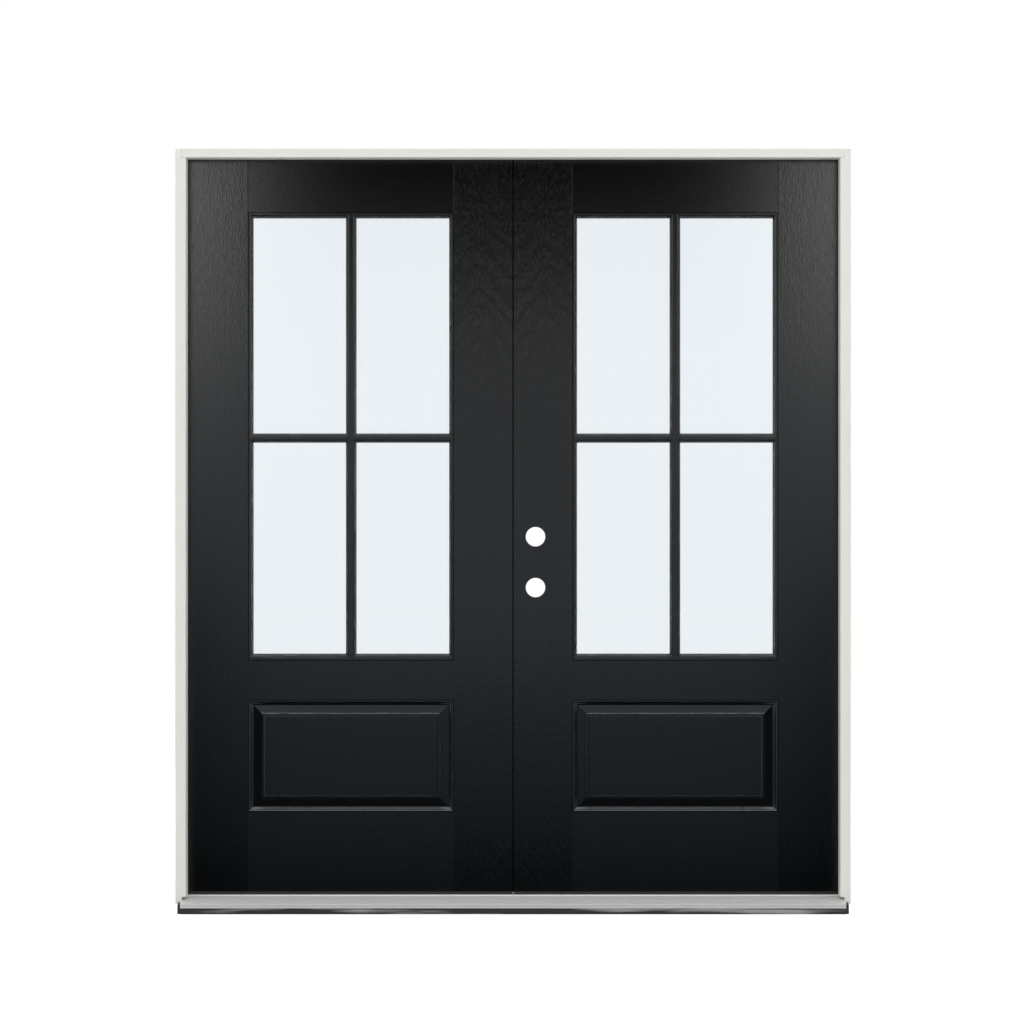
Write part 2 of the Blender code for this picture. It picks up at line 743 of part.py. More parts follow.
def make_core(label, side, leaf):
    """Stiles and rails round a foam core that follows the back of both skins. Gives the
    pieces at the meeting edge and at the hinge edge."""
    depth = core_depth()
    height = (LEAF_BOTTOM_Z, LEAF_TOP_Z)
    seam_side = (SEAM_U, SEAM_U + STILE_WIDTH)
    hinge_side = (LEAF_HINGE_U - STILE_WIDTH, LEAF_HINGE_U)
    between = (seam_side[1] + GAP, hinge_side[0] - GAP)
    hinge = piece(f"{label}_hinge_stile", block(side, hinge_side, depth, height), "stile_wood", leaf)
    bottom = (LEAF_BOTTOM_Z, LEAF_BOTTOM_Z + BOTTOM_RAIL)
    top = (LEAF_TOP_Z - TOP_RAIL, LEAF_TOP_Z)
    piece(f"{label}_bottom_rail", block(side, between, depth, bottom), "stile_wood", leaf)
    piece(f"{label}_top_rail", block(side, between, depth, top), "stile_wood", leaf)
    us = (between[0], *BAY_U, between[1])
    zs = (bottom[1] + GAP, *PANEL_Z, *LITE_Z, top[0] - GAP)
    cells = {(1, 1): (PANEL_PROFILE[1:], True), (1, 3): ((), False)}
    solid = sheet(side, (us, zs, depth[0], 1, cells), (us, zs, depth[1], -1, cells))
    foam = piece(f"{label}_foam_core", solid, "foam", leaf)
    if label == "right":
        lock, recess = make_lock_edge(side, leaf, depth)
        cut(foam, recess)
    else:
        solid = block(side, seam_side, depth, height)
        lock = piece("left_lock_stile", solid, "stile_wood", leaf)
    return lock, hinge


def lite_frame_face(y, inward, rim, profile):
    middle = sum(SIGHT_U) / 2
    us = (
        BAY_U[0] + rim,
        SIGHT_U[0] - STICKING,
        middle - UPRIGHT_BAR / 2 + STICKING,
        middle + UPRIGHT_BAR / 2 - STICKING,
        SIGHT_U[1] + STICKING,
        BAY_U[1] - rim,
    )
    zs = (
        LITE_Z[0] + rim,
        SIGHT_Z[0] - STICKING,
        CROSS_BAR_Z - CROSS_BAR / 2 + STICKING,
        CROSS_BAR_Z + CROSS_BAR / 2 - STICKING,
        SIGHT_Z[1] + STICKING,
        LITE_Z[1] - rim,
    )
    cells = {(i, j): (profile, False) for i, j in product((1, 3), (1, 3))}
    return (us, zs, y, inward, cells)


def make_lite(label, side, leaf):
    """Two moulded grilles that hold a sealed glass unit between them."""
    for name, y, inward in (("exterior", LEAF_FRONT_Y, 1), ("interior", JAMB_INNER_Y, -1)):
        front = lite_frame_face(y, inward, SHADOW_GROOVE, STICKING_PROFILE)
        back = lite_frame_face(y + inward * LITE_FRAME_DEPTH, inward, GAP, ((STICKING, 0.0),))
        solid = sheet(side, front, back, y + inward * FLANGE_Y)
        piece(f"{label}_{name}_lite_frame", solid, "glazing_frame", leaf)
    u = (BAY_U[0] + GLASS_INSET, BAY_U[1] - GLASS_INSET)
    z = (LITE_Z[0] + GLASS_INSET, LITE_Z[1] - GLASS_INSET)
    outer = LEAF_FRONT_Y + LITE_FRAME_DEPTH + GAP
    inner = JAMB_INNER_Y - LITE_FRAME_DEPTH - GAP
    piece(f"{label}_outer_pane", block(side, u, (outer, outer + PANE), z), "glass", leaf)
    piece(f"{label}_inner_pane", block(side, u, (inner - PANE, inner), z), "glass", leaf)
    us = (u[0], u[0] + SPACER_WIDTH, u[1] - SPACER_WIDTH, u[1])
    zs = (z[0], z[0] + SPACER_WIDTH, z[1] - SPACER_WIDTH, z[1])
    cells = {(1, 1): ((), False)}
    front = (us, zs, outer + PANE + GAP, 1, cells)
    back = (us, zs, inner - PANE - GAP, -1, cells)
    piece(f"{label}_glass_spacer", sheet(side, front, back), "spacer", leaf)


def make_sweep(label, side, leaf):
    """A strip under the leaf with a front wall and fins that wipe the threshold."""
    top = LEAF_BOTTOM_Z - GAP
    under = top - SWEEP_WALL
    outline = [(SWEEP_Y[1], top), (SWEEP_Y[0], top), (SWEEP_Y[0], SWEEP_TIP_Z)]
    outline += [(SWEEP_Y[0] + SWEEP_WALL, SWEEP_TIP_Z), (SWEEP_Y[0] + SWEEP_WALL, under)]
    for y in SWEEP_FIN_Y:
        tip = y + SWEEP_FIN_LEAN
        outline += [(y, under), (tip, SWEEP_TIP_Z), (tip + SWEEP_FIN_TIP, SWEEP_TIP_Z)]
        outline.append((y + SWEEP_WALL, under))
    outline.append((SWEEP_Y[1], under))
    ends = (side * (SEAM_U + GAP), side * (LEAF_HINGE_U - GAP))
    return piece(f"{label}_sweep", extruded(outline, "X", *ends), "rubber", leaf)


def edge_plate(side, u, y_size, z, height, radius):
    """A thin plate in the meeting edge, with rounded corners."""
    outline = rectangle(*around(LEAF_MID_Y, y_size), *around(z, height))
    outline = rounded(outline, radius, (0, 1, 2, 3), steps=2)
    return extruded(outline, "X", side * u[0], side * u[1])


def bore_for_lock(side, leaf, lock_block, skins):
    """Face bores, edge bores and faceplate mortises in the active leaf."""
    centre = SEAM_U + BACKSET
    through = (LEAF_FRONT_Y - OVERCUT, JAMB_INNER_Y + OVERCUT)
    for number, z in enumerate(BORE_Z, 1):
        face = circle(side * centre, z, BORE_RADIUS, FACE_BORE_SIDES)
        face_bore = cutter(f"face_bore_{number}", extruded(face, "Y", *through), leaf)
        edge = circle(LEAF_MID_Y, z, EDGE_BORE_RADIUS, EDGE_BORE_SIDES)
        edge_bore = cutter(f"edge_bore_{number}",
                           extruded(edge, "X", side * (SEAM_U - OVERCUT), side * centre), leaf)
        mortise = edge_plate(side, (SEAM_U - OVERCUT, SEAM_U + FACEPLATE_DEPTH),
                             FACEPLATE[0], z, FACEPLATE[1], HINGE_CORNER)
        cut(lock_block, face_bore, edge_bore, cutter(f"faceplate_{number}", mortise, leaf))
        for skin in skins:
            cut(skin, face_bore)


def make_lock_strikes(side, leaf, lock_stile):
    """Strike plates in the passive leaf, over the pockets that the lock's bolts enter."""
    back = SEAM_U + STRIKE_THICKNESS
    for name, z in zip(("deadbolt_strike", "latch_strike"), BORE_Z):
        plate = piece(name, edge_plate(side, (SEAM_U, back), STRIKE[0], z, STRIKE[1], HINGE_CORNER),
                      "satin_nickel", leaf)
        hole = block(side, (SEAM_U - OVERCUT, back + STRIKE_POCKET),
                     around(LEAF_MID_Y, STRIKE_HOLE[0]), around(z, STRIKE_HOLE[1]))
        hole = cutter(name + "_pocket", hole, leaf)
        mortise = edge_plate(side, (SEAM_U - OVERCUT, back + GAP), STRIKE[0] + 2 * GAP, z,
                             STRIKE[1] + 2 * GAP, HINGE_CORNER)
        cut(plate, hole)
        cut(lock_stile, cutter(name + "_mortise", mortise, leaf), hole)


def make_flush_bolt(end, side, leaf, lock_stile, sweep):
    """A rod in the passive leaf's edge, thrown by a thumb piece that slides in a plate."""
    way = 1 if end == "top" else -1
    leaf_end = LEAF_TOP_Z if end == "top" else LEAF_BOTTOM_Z
    centre = leaf_end - way * BOLT_PLATE_OFFSET
    throw = BOLT_THROW[end]
    back = SEAM_U + BOLT_PLATE_THICKNESS
    mortise = edge_plate(side, (SEAM_U - OVERCUT, back + GAP), BOLT_PLATE[0] + 2 * GAP, centre,
                         BOLT_PLATE[1] + 2 * GAP, HINGE_CORNER)
    pocket = block(side, (back, back + BOLT_POCKET_DEPTH),
                   around(LEAF_MID_Y, BOLT_POCKET[0]), around(centre, BOLT_POCKET[1]))
    bore = extruded(circle(side * BOLT_U, LEAF_MID_Y, BOLT_BORE_RADIUS), "Z",
                    *sorted((centre, leaf_end + way * OVERCUT)))
    bore = cutter(f"{end}_bolt_bore", bore, leaf)
    cut(lock_stile, cutter(f"{end}_bolt_mortise", mortise, leaf),
        cutter(f"{end}_bolt_pocket", pocket, leaf), bore)
    if end == "bottom":
        cut(sweep, bore)

    plate = piece(f"{end}_flush_bolt_plate",
                  edge_plate(side, (SEAM_U, back), BOLT_PLATE[0], centre, BOLT_PLATE[1], HINGE_CORNER),
                  "satin_nickel", leaf)
    half = THUMB_PIECE[1] / 2 + BOLT_SLOT_MARGIN
    slot_z = sorted((centre - way * half, centre + way * (half + throw)))
    slot = block(side, (SEAM_U - OVERCUT, back + OVERCUT),
                 around(LEAF_MID_Y, THUMB_PIECE[0] + 2 * BOLT_SLOT_MARGIN), slot_z)
    cut(plate, cutter(f"{end}_bolt_slot", slot, leaf))

    carrier = pivot(f"{end}_bolt_travel", (side * BOLT_U, LEAF_MID_Y, centre))
    carrier.parent = leaf
    carrier.matrix_parent_inverse = Matrix.Translation(-leaf.location)
    tip = leaf_end - way * BOLT_SETBACK
    rod = piece(f"{end}_flush_bolt_rod",
                extruded(circle(side * BOLT_U, LEAF_MID_Y, BOLT_RADIUS), "Z",
                         *sorted((centre - way * BOLT_TAIL, tip))), "satin_nickel", carrier, True)
    slide = block(side, (back + SLIDE_CLEARANCE, BOLT_U + BOLT_RADIUS),
                  around(LEAF_MID_Y, SLIDE_BLOCK[0]), around(centre, SLIDE_BLOCK[1]))
    thumb = thumb_piece(side, centre, back + THUMB_ROOT)
    add(rod, slide, thumb)


def thumb_piece(side, centre, root_u):
    """A ribbed finger pad: a toothed outline along the travel, as wide as the slot lets it."""
    half = THUMB_PIECE[1] / 2
    pitch = 2 * half / THUMB_RIBS
    crest = SEAM_U + THUMB_INSET
    valley = crest + THUMB_RIB_DEPTH
    crest_end, *dip = (share * pitch for share in THUMB_RIB_SHARES)
    outline = [(side * root_u, centre - half)]
    for i in range(THUMB_RIBS):
        start = centre - half + i * pitch
        outline += [(side * crest, start), (side * crest, start + crest_end)]
        if i < THUMB_RIBS - 1:
            outline += [(side * valley, start + along) for along in dip]
    outline += [(side * crest, centre + half), (side * root_u, centre + half)]
    return extruded(outline, "Y", *around(LEAF_MID_Y, THUMB_PIECE[0]))


def make_meeting_seal(side, leaf):
    """A thin strip on the passive leaf's edge, near its interior face."""
    outline = rectangle(side * (SEAM_U - GAP), side * MEETING_SEAL_TIP_U, *MEETING_SEAL_Y)
    outline = rounded(outline, MEETING_SEAL_CORNER, (1, 2), steps=2)
    piece("meeting_seal", extruded(outline, "Z", SWEEP_TIP_Z, LEAF_TOP_Z), "rubber", leaf)


def make_leaf(label, side):
    leaf = pivot(f"{label}_leaf_pivot", (side * HINGE_AXIS_U, HINGE_AXIS_Y, 0.0))
    skins = make_skins(label, side, leaf)
    lock_edge, hinge_stile = make_core(label, side, leaf)
    make_lite(label, side, leaf)
    sweep = make_sweep(label, side, leaf)
    return leaf, skins, lock_edge, hinge_stile, sweep


def clear_scene():
    for obj in list(bpy.data.objects):
        bpy.data.objects.remove(obj, do_unlink=True)


def main():
    clear_scene()
    make_finishes()
    head = make_head_jamb()
    base = make_sill()
    cap = make_threshold_cap()
    make_weatherstrips()
    make_corner_pads()

    for label, side in (("left", -1), ("right", 1)):
        jamb = make_side_jamb(f"{label}_jamb", side)
        leaf, skins, lock_edge, hinge_stile, sweep = make_leaf(label, side)
        for number, z in enumerate(HINGE_Z, 1):
            make_hinge(label, number, side, z, jamb, (hinge_stile, skins[1]), leaf)
        if label == "right":
            bore_for_lock(side, leaf, lock_edge, skins)
        else:
            make_lock_strikes(side, leaf, lock_edge)
            make_meeting_seal(side, leaf)
            for end in ("top", "bottom"):
                make_flush_bolt(end, side, leaf, lock_edge, sweep)

    make_head_strike(head)
    make_sill_strike(cap, base)


main()
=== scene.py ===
"""Finishes, fasteners and studio for a pair of fiberglass entry doors in their frame.

X runs along the doorway with 0 at the seam between the leaves, -Y is the exterior and
Z is up. Both leaves are laid out by u, the distance from the seam, so a finish that
reads u is mirrored from one leaf to the other, as the moulded skins are.
"""

import functools
import json
import math

import bmesh
import bpy
from mathutils import Matrix, Vector

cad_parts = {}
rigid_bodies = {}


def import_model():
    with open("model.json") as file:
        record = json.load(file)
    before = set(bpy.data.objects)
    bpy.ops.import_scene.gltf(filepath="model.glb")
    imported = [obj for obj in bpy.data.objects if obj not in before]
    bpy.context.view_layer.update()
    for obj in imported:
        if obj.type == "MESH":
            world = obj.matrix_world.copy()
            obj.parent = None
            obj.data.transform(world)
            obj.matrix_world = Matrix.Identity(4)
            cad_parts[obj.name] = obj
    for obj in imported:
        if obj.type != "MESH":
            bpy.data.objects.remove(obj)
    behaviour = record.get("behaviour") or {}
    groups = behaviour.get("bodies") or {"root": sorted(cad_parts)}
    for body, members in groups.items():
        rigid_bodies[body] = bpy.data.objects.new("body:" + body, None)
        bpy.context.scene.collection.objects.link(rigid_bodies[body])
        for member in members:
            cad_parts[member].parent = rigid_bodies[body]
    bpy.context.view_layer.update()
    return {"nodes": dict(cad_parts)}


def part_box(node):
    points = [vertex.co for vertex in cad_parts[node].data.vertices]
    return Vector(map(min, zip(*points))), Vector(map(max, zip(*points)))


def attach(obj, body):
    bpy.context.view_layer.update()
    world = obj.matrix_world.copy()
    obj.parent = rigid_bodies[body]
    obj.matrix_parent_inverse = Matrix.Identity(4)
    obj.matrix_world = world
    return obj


bl_info = {
    "name": "Fiberglass Double Entry Door",
    "version": (1, 0, 0),
    "blender": (4, 5, 0),
    "location": "View3D > Sidebar > Entry Door",
    "description": "Dresses a pair of fiberglass entry doors and sets the studio round them",
    "category": "Object",
}

for startup_object in list(bpy.data.objects):
    bpy.data.objects.remove(startup_object, do_unlink=True)

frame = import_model()
NODES = frame["nodes"]
MM = 0.001

# Scrim of the studio: its bend as (y, z), and its glow as (height, middle, sides, far out)
SCRIM_HALF_WIDTH = 3.2
SCRIM_HEIGHT = 3.3
SCRIM_BEND = ((-0.12, 0.01), (-1.12, 0.01), (-1.24, 0.04), (-1.3, 0.12), (-1.3, SCRIM_HEIGHT))
SCRIM_SCALE = 4.0  # brings the glow under 1, where a colour ramp ends
SCRIM_GLOW = (
    (0.01, 0.00, 0.00, 0.00),
    (0.04, 0.15, 0.05, 0.00),
    (0.45, 0.35, 0.20, 0.00),
    (0.75, 0.65, 0.35, 0.05),
    (1.35, 0.70, 1.10, 0.60),
    (1.60, 0.70, 1.70, 1.00),
    (1.80, 0.45, 2.30, 1.30),
    (2.15, 0.00, 3.10, 1.50),
    (2.50, 0.00, 1.60, 1.20),
    (3.00, 1.00, 1.00, 1.00),
)
SCRIM_FADE = (0.30, 0.98)  # from the middle to the sides, as distances from the seam
SCRIM_FADE_POWER = 4.0
SCRIM_FAR = (1.08, 1.35)  # from the sides to far out
SCRIM_TINT = ((0.2, (0.80, 1.0, 1.18)), (1.3, (0.96, 1.0, 1.05)), (2.0, (1.0, 1.0, 0.97)))
TOP_LIGHT_Y = (-0.85, -0.15)
TOP_LIGHT_Z = 3.0
TOP_LIGHT_GLOW = 4.0
GLOSSY_ONLY = {
    "visible_camera": False, "visible_diffuse": False,
    "visible_shadow": False, "visible_transmission": False,
}

# Lamps as (name, place, target, size, share of the side lamps' power, shows in gloss)
LAMPS = (
    ("left_front", (-5.0, -3.4, 0.6), (0, 0, 0.9), (2.4, 2.6), 1.0, False),
    ("right_front", (5.0, -3.4, 0.6), (0, 0, 0.9), (2.4, 2.6), 1.0, False),
    ("left_back", (-3.6, 3.6, 2.4), (0, 0, 1.1), (2.4, 2.4), 0.5, True),
    ("right_back", (3.6, 3.6, 2.4), (0, 0, 1.1), (2.4, 2.4), 0.5, True),
    ("overhead", (0, -2.0, 6.0), (0, 0, 0.5), (4.0, 2.0), 0.6, False),
)
FLOOR_SIZE = 60.0
CAMERA_X = -0.003
WHITE = (1.0, 1.0, 1.0)
BLACK = (0.0, 0.0, 0.0)

LIGHT_LOW, LIGHT_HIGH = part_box("right_exterior_lite_frame")
SKIN_LOW, SKIN_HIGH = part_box("right_exterior_skin")
STILE_JOINT_U = (LIGHT_LOW.x, LIGHT_HIGH.x)  # where the stiles meet the rails
NOSE_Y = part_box("sill_deck")[0].y
NOSE_RECESS_Z = 15.5 * MM  # top of the recess along the foot of the sill's nose
JAMB_PLATE_U = 0.9072  # face of the hinge plates that are let into the jambs
HINGE_SCREWS = tuple((s * MM, y * MM) for s, y in ((-37, 46), (-13, 36), (13, 36), (37, 46)))
PORE_STRETCH = 4.0  # how many times longer a pore is than it is wide
ARCH_HEART = (0.09, 1.70)  # u and height of the middle of the arched grain
ARCH_TIP_RADIUS = 14 * MM
ARCH_STEEPNESS = 1.4
ARCH_DRIFT = 0.12  # how far slow noise lifts an arch
ARCH_FADE = (0.08, 0.30)  # above and below the heart, where the arches fade out
SCORE_ZONE = (0.9, 1.7)  # heights between which the scored lines sharpen
SCUFF_ZONE = (0.75, 0.20)  # heights where the scuffs on the rails start and are worst
RIDGE_HIGHLIGHT_ZONE = (1.86, 0.20, 0.50)  # height where the lighter ridge paint, a painted highlight, is strongest, and where it fades
# profile of the black bead of painted shade that fills the groove round each glazing frame
BEAD_IN_GROOVE = tuple((u * MM, d * MM) for u, d in (  # inward from the rim, below the face
    (0.05, 2.0), (0.05, 0.4), (0.5, 0.15), (1.65, 0.15), (2.1, 0.4), (2.1, 2.0)
))
PILE_OUTLINE = tuple((x * MM, y * MM) for x, y in (  # from the seam, and before the seal
    (-2.0, 0.1), (-2.0, 1.2), (0.68, 1.2), (1.36, 1.035),
    (1.7, 0.76), (1.7, 0.54), (1.36, 0.265), (0.68, 0.1),
))
SCREW_TWIST = 37.0  # radians per metre of height, so that no two cross slots are alike
SCREW_SHARP_ANGLE = math.radians(38)
# Plates with two screws as (body, plate, facing, spread from its centre, axis of the spread)
SCREWED_PLATES = (
    ("frame", "head_strike", (0, 0, -1), 17 * MM, 0),
    ("frame", "sill_strike", (0, 0, 1), 17 * MM, 0),
    ("left_leaf", "deadbolt_strike", (1, 0, 0), 21 * MM, 2),
    ("left_leaf", "latch_strike", (1, 0, 0), 21 * MM, 2),
    ("left_leaf", "top_flush_bolt_plate", (1, 0, 0), 76 * MM, 2),
    ("left_leaf", "bottom_flush_bolt_plate", (1, 0, 0), 76 * MM, 2),
)


def linear(hex_colour):
    """An sRGB hex colour as the linear red, green and blue that a shader takes."""
    values = [int(hex_colour[i : i + 2], 16) / 255 for i in (1, 3, 5)]
    return tuple(v / 12.92 if v <= 0.04045 else ((v + 0.055) / 1.055) ** 2.4 for v in values)


def opaque(colour, shade=1.0):
    """A colour with full alpha, made darker or lighter by a factor."""
    return (*(min(1.0, shade * part) for part in colour), 1.0)


def colour_property(name, description, hex_colour):
    """A colour that can be changed in the sidebar, from its sRGB hex colour."""
    return bpy.props.FloatVectorProperty(
        name=name, description=description, subtype="COLOR", size=3, min=0.0, max=1.0,
        default=linear(hex_colour),
    )


# ---------------------------------------------------------------- settings


class PaintSettings(bpy.types.PropertyGroup):
    """Charcoal finish of the leaves."""

    colour: colour_property("Paint", "Satin paint on the skins and the grilles", "#040506")
    # lighter paint on the ridges: grain tone, and a painted highlight high up on the stiles
    ridge_colour: colour_property("Paint on the ridges", "Where the grain stands up", "#1b1c1e")
    grain_depth: bpy.props.FloatProperty(
        name="Grain depth", description="From a ridge to a pore of the moulded woodgrain",
        default=0.8 * MM, min=0.0, max=3.0 * MM, subtype="DISTANCE", unit="LENGTH", precision=5,
    )
    pore_spacing: bpy.props.FloatProperty(
        name="Pore spacing", description="Across the grain of a stile",
        default=3.6 * MM, min=0.5 * MM, max=20 * MM, subtype="DISTANCE", unit="LENGTH", precision=5,
    )
    ring_spacing: bpy.props.FloatProperty(
        name="Ring spacing", description="Between the arches of the cathedral grain, up the stile",
        default=66.0 * MM, min=5 * MM, max=0.2, subtype="DISTANCE", unit="LENGTH", precision=4,
    )


class FrameSettings(bpy.types.PropertyGroup):
    """White finish of the jambs, and the sill."""

    jamb_colour: colour_property("Jambs", "Factory paint on the jambs and head", "#dcddd8")
    aluminium_colour: colour_property("Sill deck", "Mill aluminium", "#e4e5e3")
    cap_colour: colour_property("Threshold cap", "Composite cap under the leaves", "#8f867a")
    strip_colour: colour_property("Weatherstrip", "Foam-filled weatherstrip", "#4a4038")


class GlassSettings(bpy.types.PropertyGroup):
    """Sealed glass units."""

    tint: colour_property("Glass tint", "What a pane lets through", "#f5f8fa")


class HardwareSettings(bpy.types.PropertyGroup):
    """Hinges, strikes, flush bolts and their screws."""

    colour: colour_property("Nickel", "Satin nickel plate", "#b9b4aa")
    head_diameter: bpy.props.FloatProperty(
        name="Screw head", description="Diameter of a raised countersunk head",
        default=8.6 * MM, min=4 * MM, max=12 * MM, subtype="DISTANCE", unit="LENGTH", precision=4,
    )
    head_rise: bpy.props.FloatProperty(
        name="Screw rise", description="How far a head stands out of its plate",
        default=0.7 * MM, min=0.1 * MM, max=1.5 * MM,
        subtype="DISTANCE", unit="LENGTH", precision=5,
    )


class StudioSettings(bpy.types.PropertyGroup):
    """Floor, lamps and camera."""

    floor_colour: colour_property("Floor", "Pale paper under the door", "#efefed")
    ambient: bpy.props.FloatProperty(
        name="Ambient", description="Level of the even light from all round",
        default=0.50, min=0.0, max=2.0,
    )
    side_power: bpy.props.FloatProperty(
        name="Side lamps", description="Power of each large soft lamp beside the door",
        default=142.0, min=0.0, max=1000.0, subtype="POWER", unit="POWER",
    )
    scrim_level: bpy.props.FloatProperty(
        name="Scrim", description="Level of the graded scrim that the paint reflects",
        default=1.0, min=0.0, max=4.0,
    )
    focal_length: bpy.props.FloatProperty(
        name="Focal length", description="Focal length in millimetres",
        default=128.5, min=20.0, max=300.0, subtype="DISTANCE_CAMERA",
    )
    distance: bpy.props.FloatProperty(
        name="Camera distance", description="From the jambs' centre plane to the camera",
        default=10.058, min=2.0, max=40.0, subtype="DISTANCE", unit="LENGTH",
    )
    height: bpy.props.FloatProperty(
        name="Camera height", description="Above the floor",
        default=1.097, min=0.1, max=5.0, subtype="DISTANCE", unit="LENGTH",
    )


class EntryDoorSettings(bpy.types.PropertyGroup):
    """Everything that can be changed about the entry door."""

    paint: bpy.props.PointerProperty(type=PaintSettings)
    surround: bpy.props.PointerProperty(type=FrameSettings)
    glass: bpy.props.PointerProperty(type=GlassSettings)
    hardware: bpy.props.PointerProperty(type=HardwareSettings)
    studio: bpy.props.PointerProperty(type=StudioSettings)


# ---------------------------------------------------------------- materials


def feed(node, inputs):
    """Links each input that is given a socket, or a node's first output, and sets the others."""
    for name, value in inputs.items():
        if isinstance(value, bpy.types.Node):
            value = value.outputs[0]
        if isinstance(value, bpy.types.NodeSocket):
            node.id_data.links.new(value, node.inputs[name])
        else:
            node.inputs[name].default_value = value


def add_node(tree, kind, inputs=None, **settings):
    """Adds a shader node of this kind with these settings, and feeds its inputs."""
    node = tree.nodes.new("ShaderNode" + kind)
    for name, value in settings.items():
        setattr(node, name, value)
    feed(node, inputs or {})
    return node


def new_material(name, colour, roughness, metallic=0.0):
    """A material of plain values. Gives it, its shader, and add_node for its tree."""
    material = bpy.data.materials.new(name)
    material.use_nodes = True
    shader = material.node_tree.nodes["Principled BSDF"]
    feed(shader, {"Base Color": opaque(colour), "Roughness": roughness, "Metallic": metallic})
    return material, shader, functools.partial(add_node, material.node_tree)


def object_place(add):
    """Where a point is in the resting part, as a vector."""
    return add("TexCoord").outputs["Object"]


def object_axes(add):
    """The same place as its distance from the seam, its y and its height."""
    x, y, z = add("SeparateXYZ", {"Vector": object_place(add)}).outputs
    return add("Math", {0: x}, operation="ABSOLUTE"), y, z


def tone_and_relief(add, shader, pattern, tones, strength, depth):
    """Lets a pattern mix two tones and stand in relief by them."""
    colour = add("Mix", {"Factor": pattern, 6: tones[0], 7: tones[1]}, data_type="RGBA")
    bump = add("Bump", {"Height": pattern, "Strength": strength, "Distance": depth})
    feed(shader, {"Base Color": colour.outputs[2], "Normal": bump})


def finish_with(material, *names):
    """Gives these nodes the material, in place of what they were packed with."""
    for name in names:
        slots = NODES[name].data.materials
        slots.clear()
        slots.append(material)


def both(*names):
    """Each name for the left and for the right leaf or jamb."""
    return [f"{side}_{name}" for side in ("left", "right") for name in names]


def grained_fiberglass_paint(paint):
    """Satin paint on a compression-moulded fiberglass skin with an embossed woodgrain.

    The paint is even but for lighter paint on the ridges, which is grain tone and, high up on the
    stiles, painted highlight; the eye reads the grain mostly by its relief: long pores up the
    stiles, arches where the stiles meet, calmer rails, and a scored line where a stile meets a
    rail.
    """
    material, shader, add = new_material("grained_fiberglass_paint", paint.colour, 0.19)
    u, y, z = object_axes(add)
    middle = sum(STILE_JOINT_U) / 2
    half = (STILE_JOINT_U[1] - STILE_JOINT_U[0]) / 2
    offset = add("Math", {0: u, 1: middle}, operation="SUBTRACT")
    from_middle = add("Math", {0: offset}, operation="ABSOLUTE")
    on_stile = add("Math", {0: from_middle, 1: half}, operation="GREATER_THAN")
    on_meeting_stile = add("Math", {0: u, 1: STILE_JOINT_U[0]}, operation="LESS_THAN")

    # pores run with the fibres: up the stiles, and along the rails
    slow_z, slow_u = (
        add("Math", {0: axis, 1: PORE_STRETCH}, operation="DIVIDE") for axis in (z, u)
    )
    along_stile = add("CombineXYZ", {"X": u, "Y": y, "Z": slow_z})
    along_rail = add("CombineXYZ", {"X": z, "Y": y, "Z": slow_u})
    with_fibres = add("Mix", {
        "Factor": on_stile, 4: along_rail, 5: along_stile,
    }, data_type="VECTOR").outputs[1]
    pores = add("TexNoise", {
        "Vector": with_fibres, "Scale": 1 / paint.pore_spacing, "Detail": 2.0, "Roughness": 0.5,
    })
    flecks = add("TexNoise", {
        "Vector": with_fibres, "Scale": 0.2 / paint.pore_spacing, "Detail": 3.0, "Roughness": 0.7,
    })

    # arches: lines of equal height plus a steep vee across the stile, bent by slow noise
    rings = cathedral_arches(add, u, z, paint.ring_spacing)
    rings = add("Math", {0: rings, 1: on_meeting_stile}, operation="MULTIPLY")

    # the meeting stiles are pressed deepest, the outer ones less, the rails and panel least
    depth = add("Math", {0: on_stile, 1: 0.15, 2: 0.35}, operation="MULTIPLY_ADD")
    depth = add("Math", {0: on_meeting_stile, 1: 0.45, 2: depth}, operation="MULTIPLY_ADD")
    relief = add("Math", {0: flecks, 1: 0.8, 2: pores}, operation="MULTIPLY_ADD")
    relief = add("Math", {0: relief, 1: depth}, operation="MULTIPLY")
    relief = add("Math", {0: rings, 1: -0.35, 2: relief}, operation="MULTIPLY_ADD")

    score = scored_line(add, from_middle, half, z)
    relief = add("Math", {0: relief, 1: score}, operation="SUBTRACT")
    bump = add("Bump", {"Height": relief, "Strength": 1.0, "Distance": paint.grain_depth})

    # lighter paint on the raised grain: grain tone, painted highlight high up on the stiles, and
    # scuffs low on the rails
    raised = add("Math", {0: rings, 1: -0.12, 2: pores}, operation="MULTIPLY_ADD")
    wear_and_painted_light = thin_paint_and_highlight(add, raised, on_stile, z)
    colour = add("Mix", {
        "Factor": wear_and_painted_light, 6: opaque(paint.colour), 7: opaque(paint.ridge_colour),
    }, data_type="RGBA").outputs[2]
    rough = add("MapRange", {"Value": wear_and_painted_light, "To Min": 0.20, "To Max": 0.17})
    feed(shader, {"Base Color": colour, "Roughness": rough, "Normal": bump})
    return material


def scored_line(add, from_middle, half, z):
    """The line scored where a stile meets a rail, fainter low down where the paint fills it.

    It is 1 mm wide, and is drawn 2 mm wide so that it shows.
    """
    offset = add("Math", {0: from_middle, 1: half}, operation="SUBTRACT")
    from_joint = add("Math", {0: offset}, operation="ABSOLUTE")
    line = add("MapRange", {
        "Value": from_joint, "From Max": 1.0 * MM, "To Min": 1.0, "To Max": 0.0,
    }, interpolation_type="SMOOTHSTEP")
    depth = add("MapRange", {
        "Value": z, "From Min": SCORE_ZONE[0], "From Max": SCORE_ZONE[1],
        "To Min": 0.15, "To Max": 1.2,
    })
    return add("Math", {0: line, 1: depth}, operation="MULTIPLY")


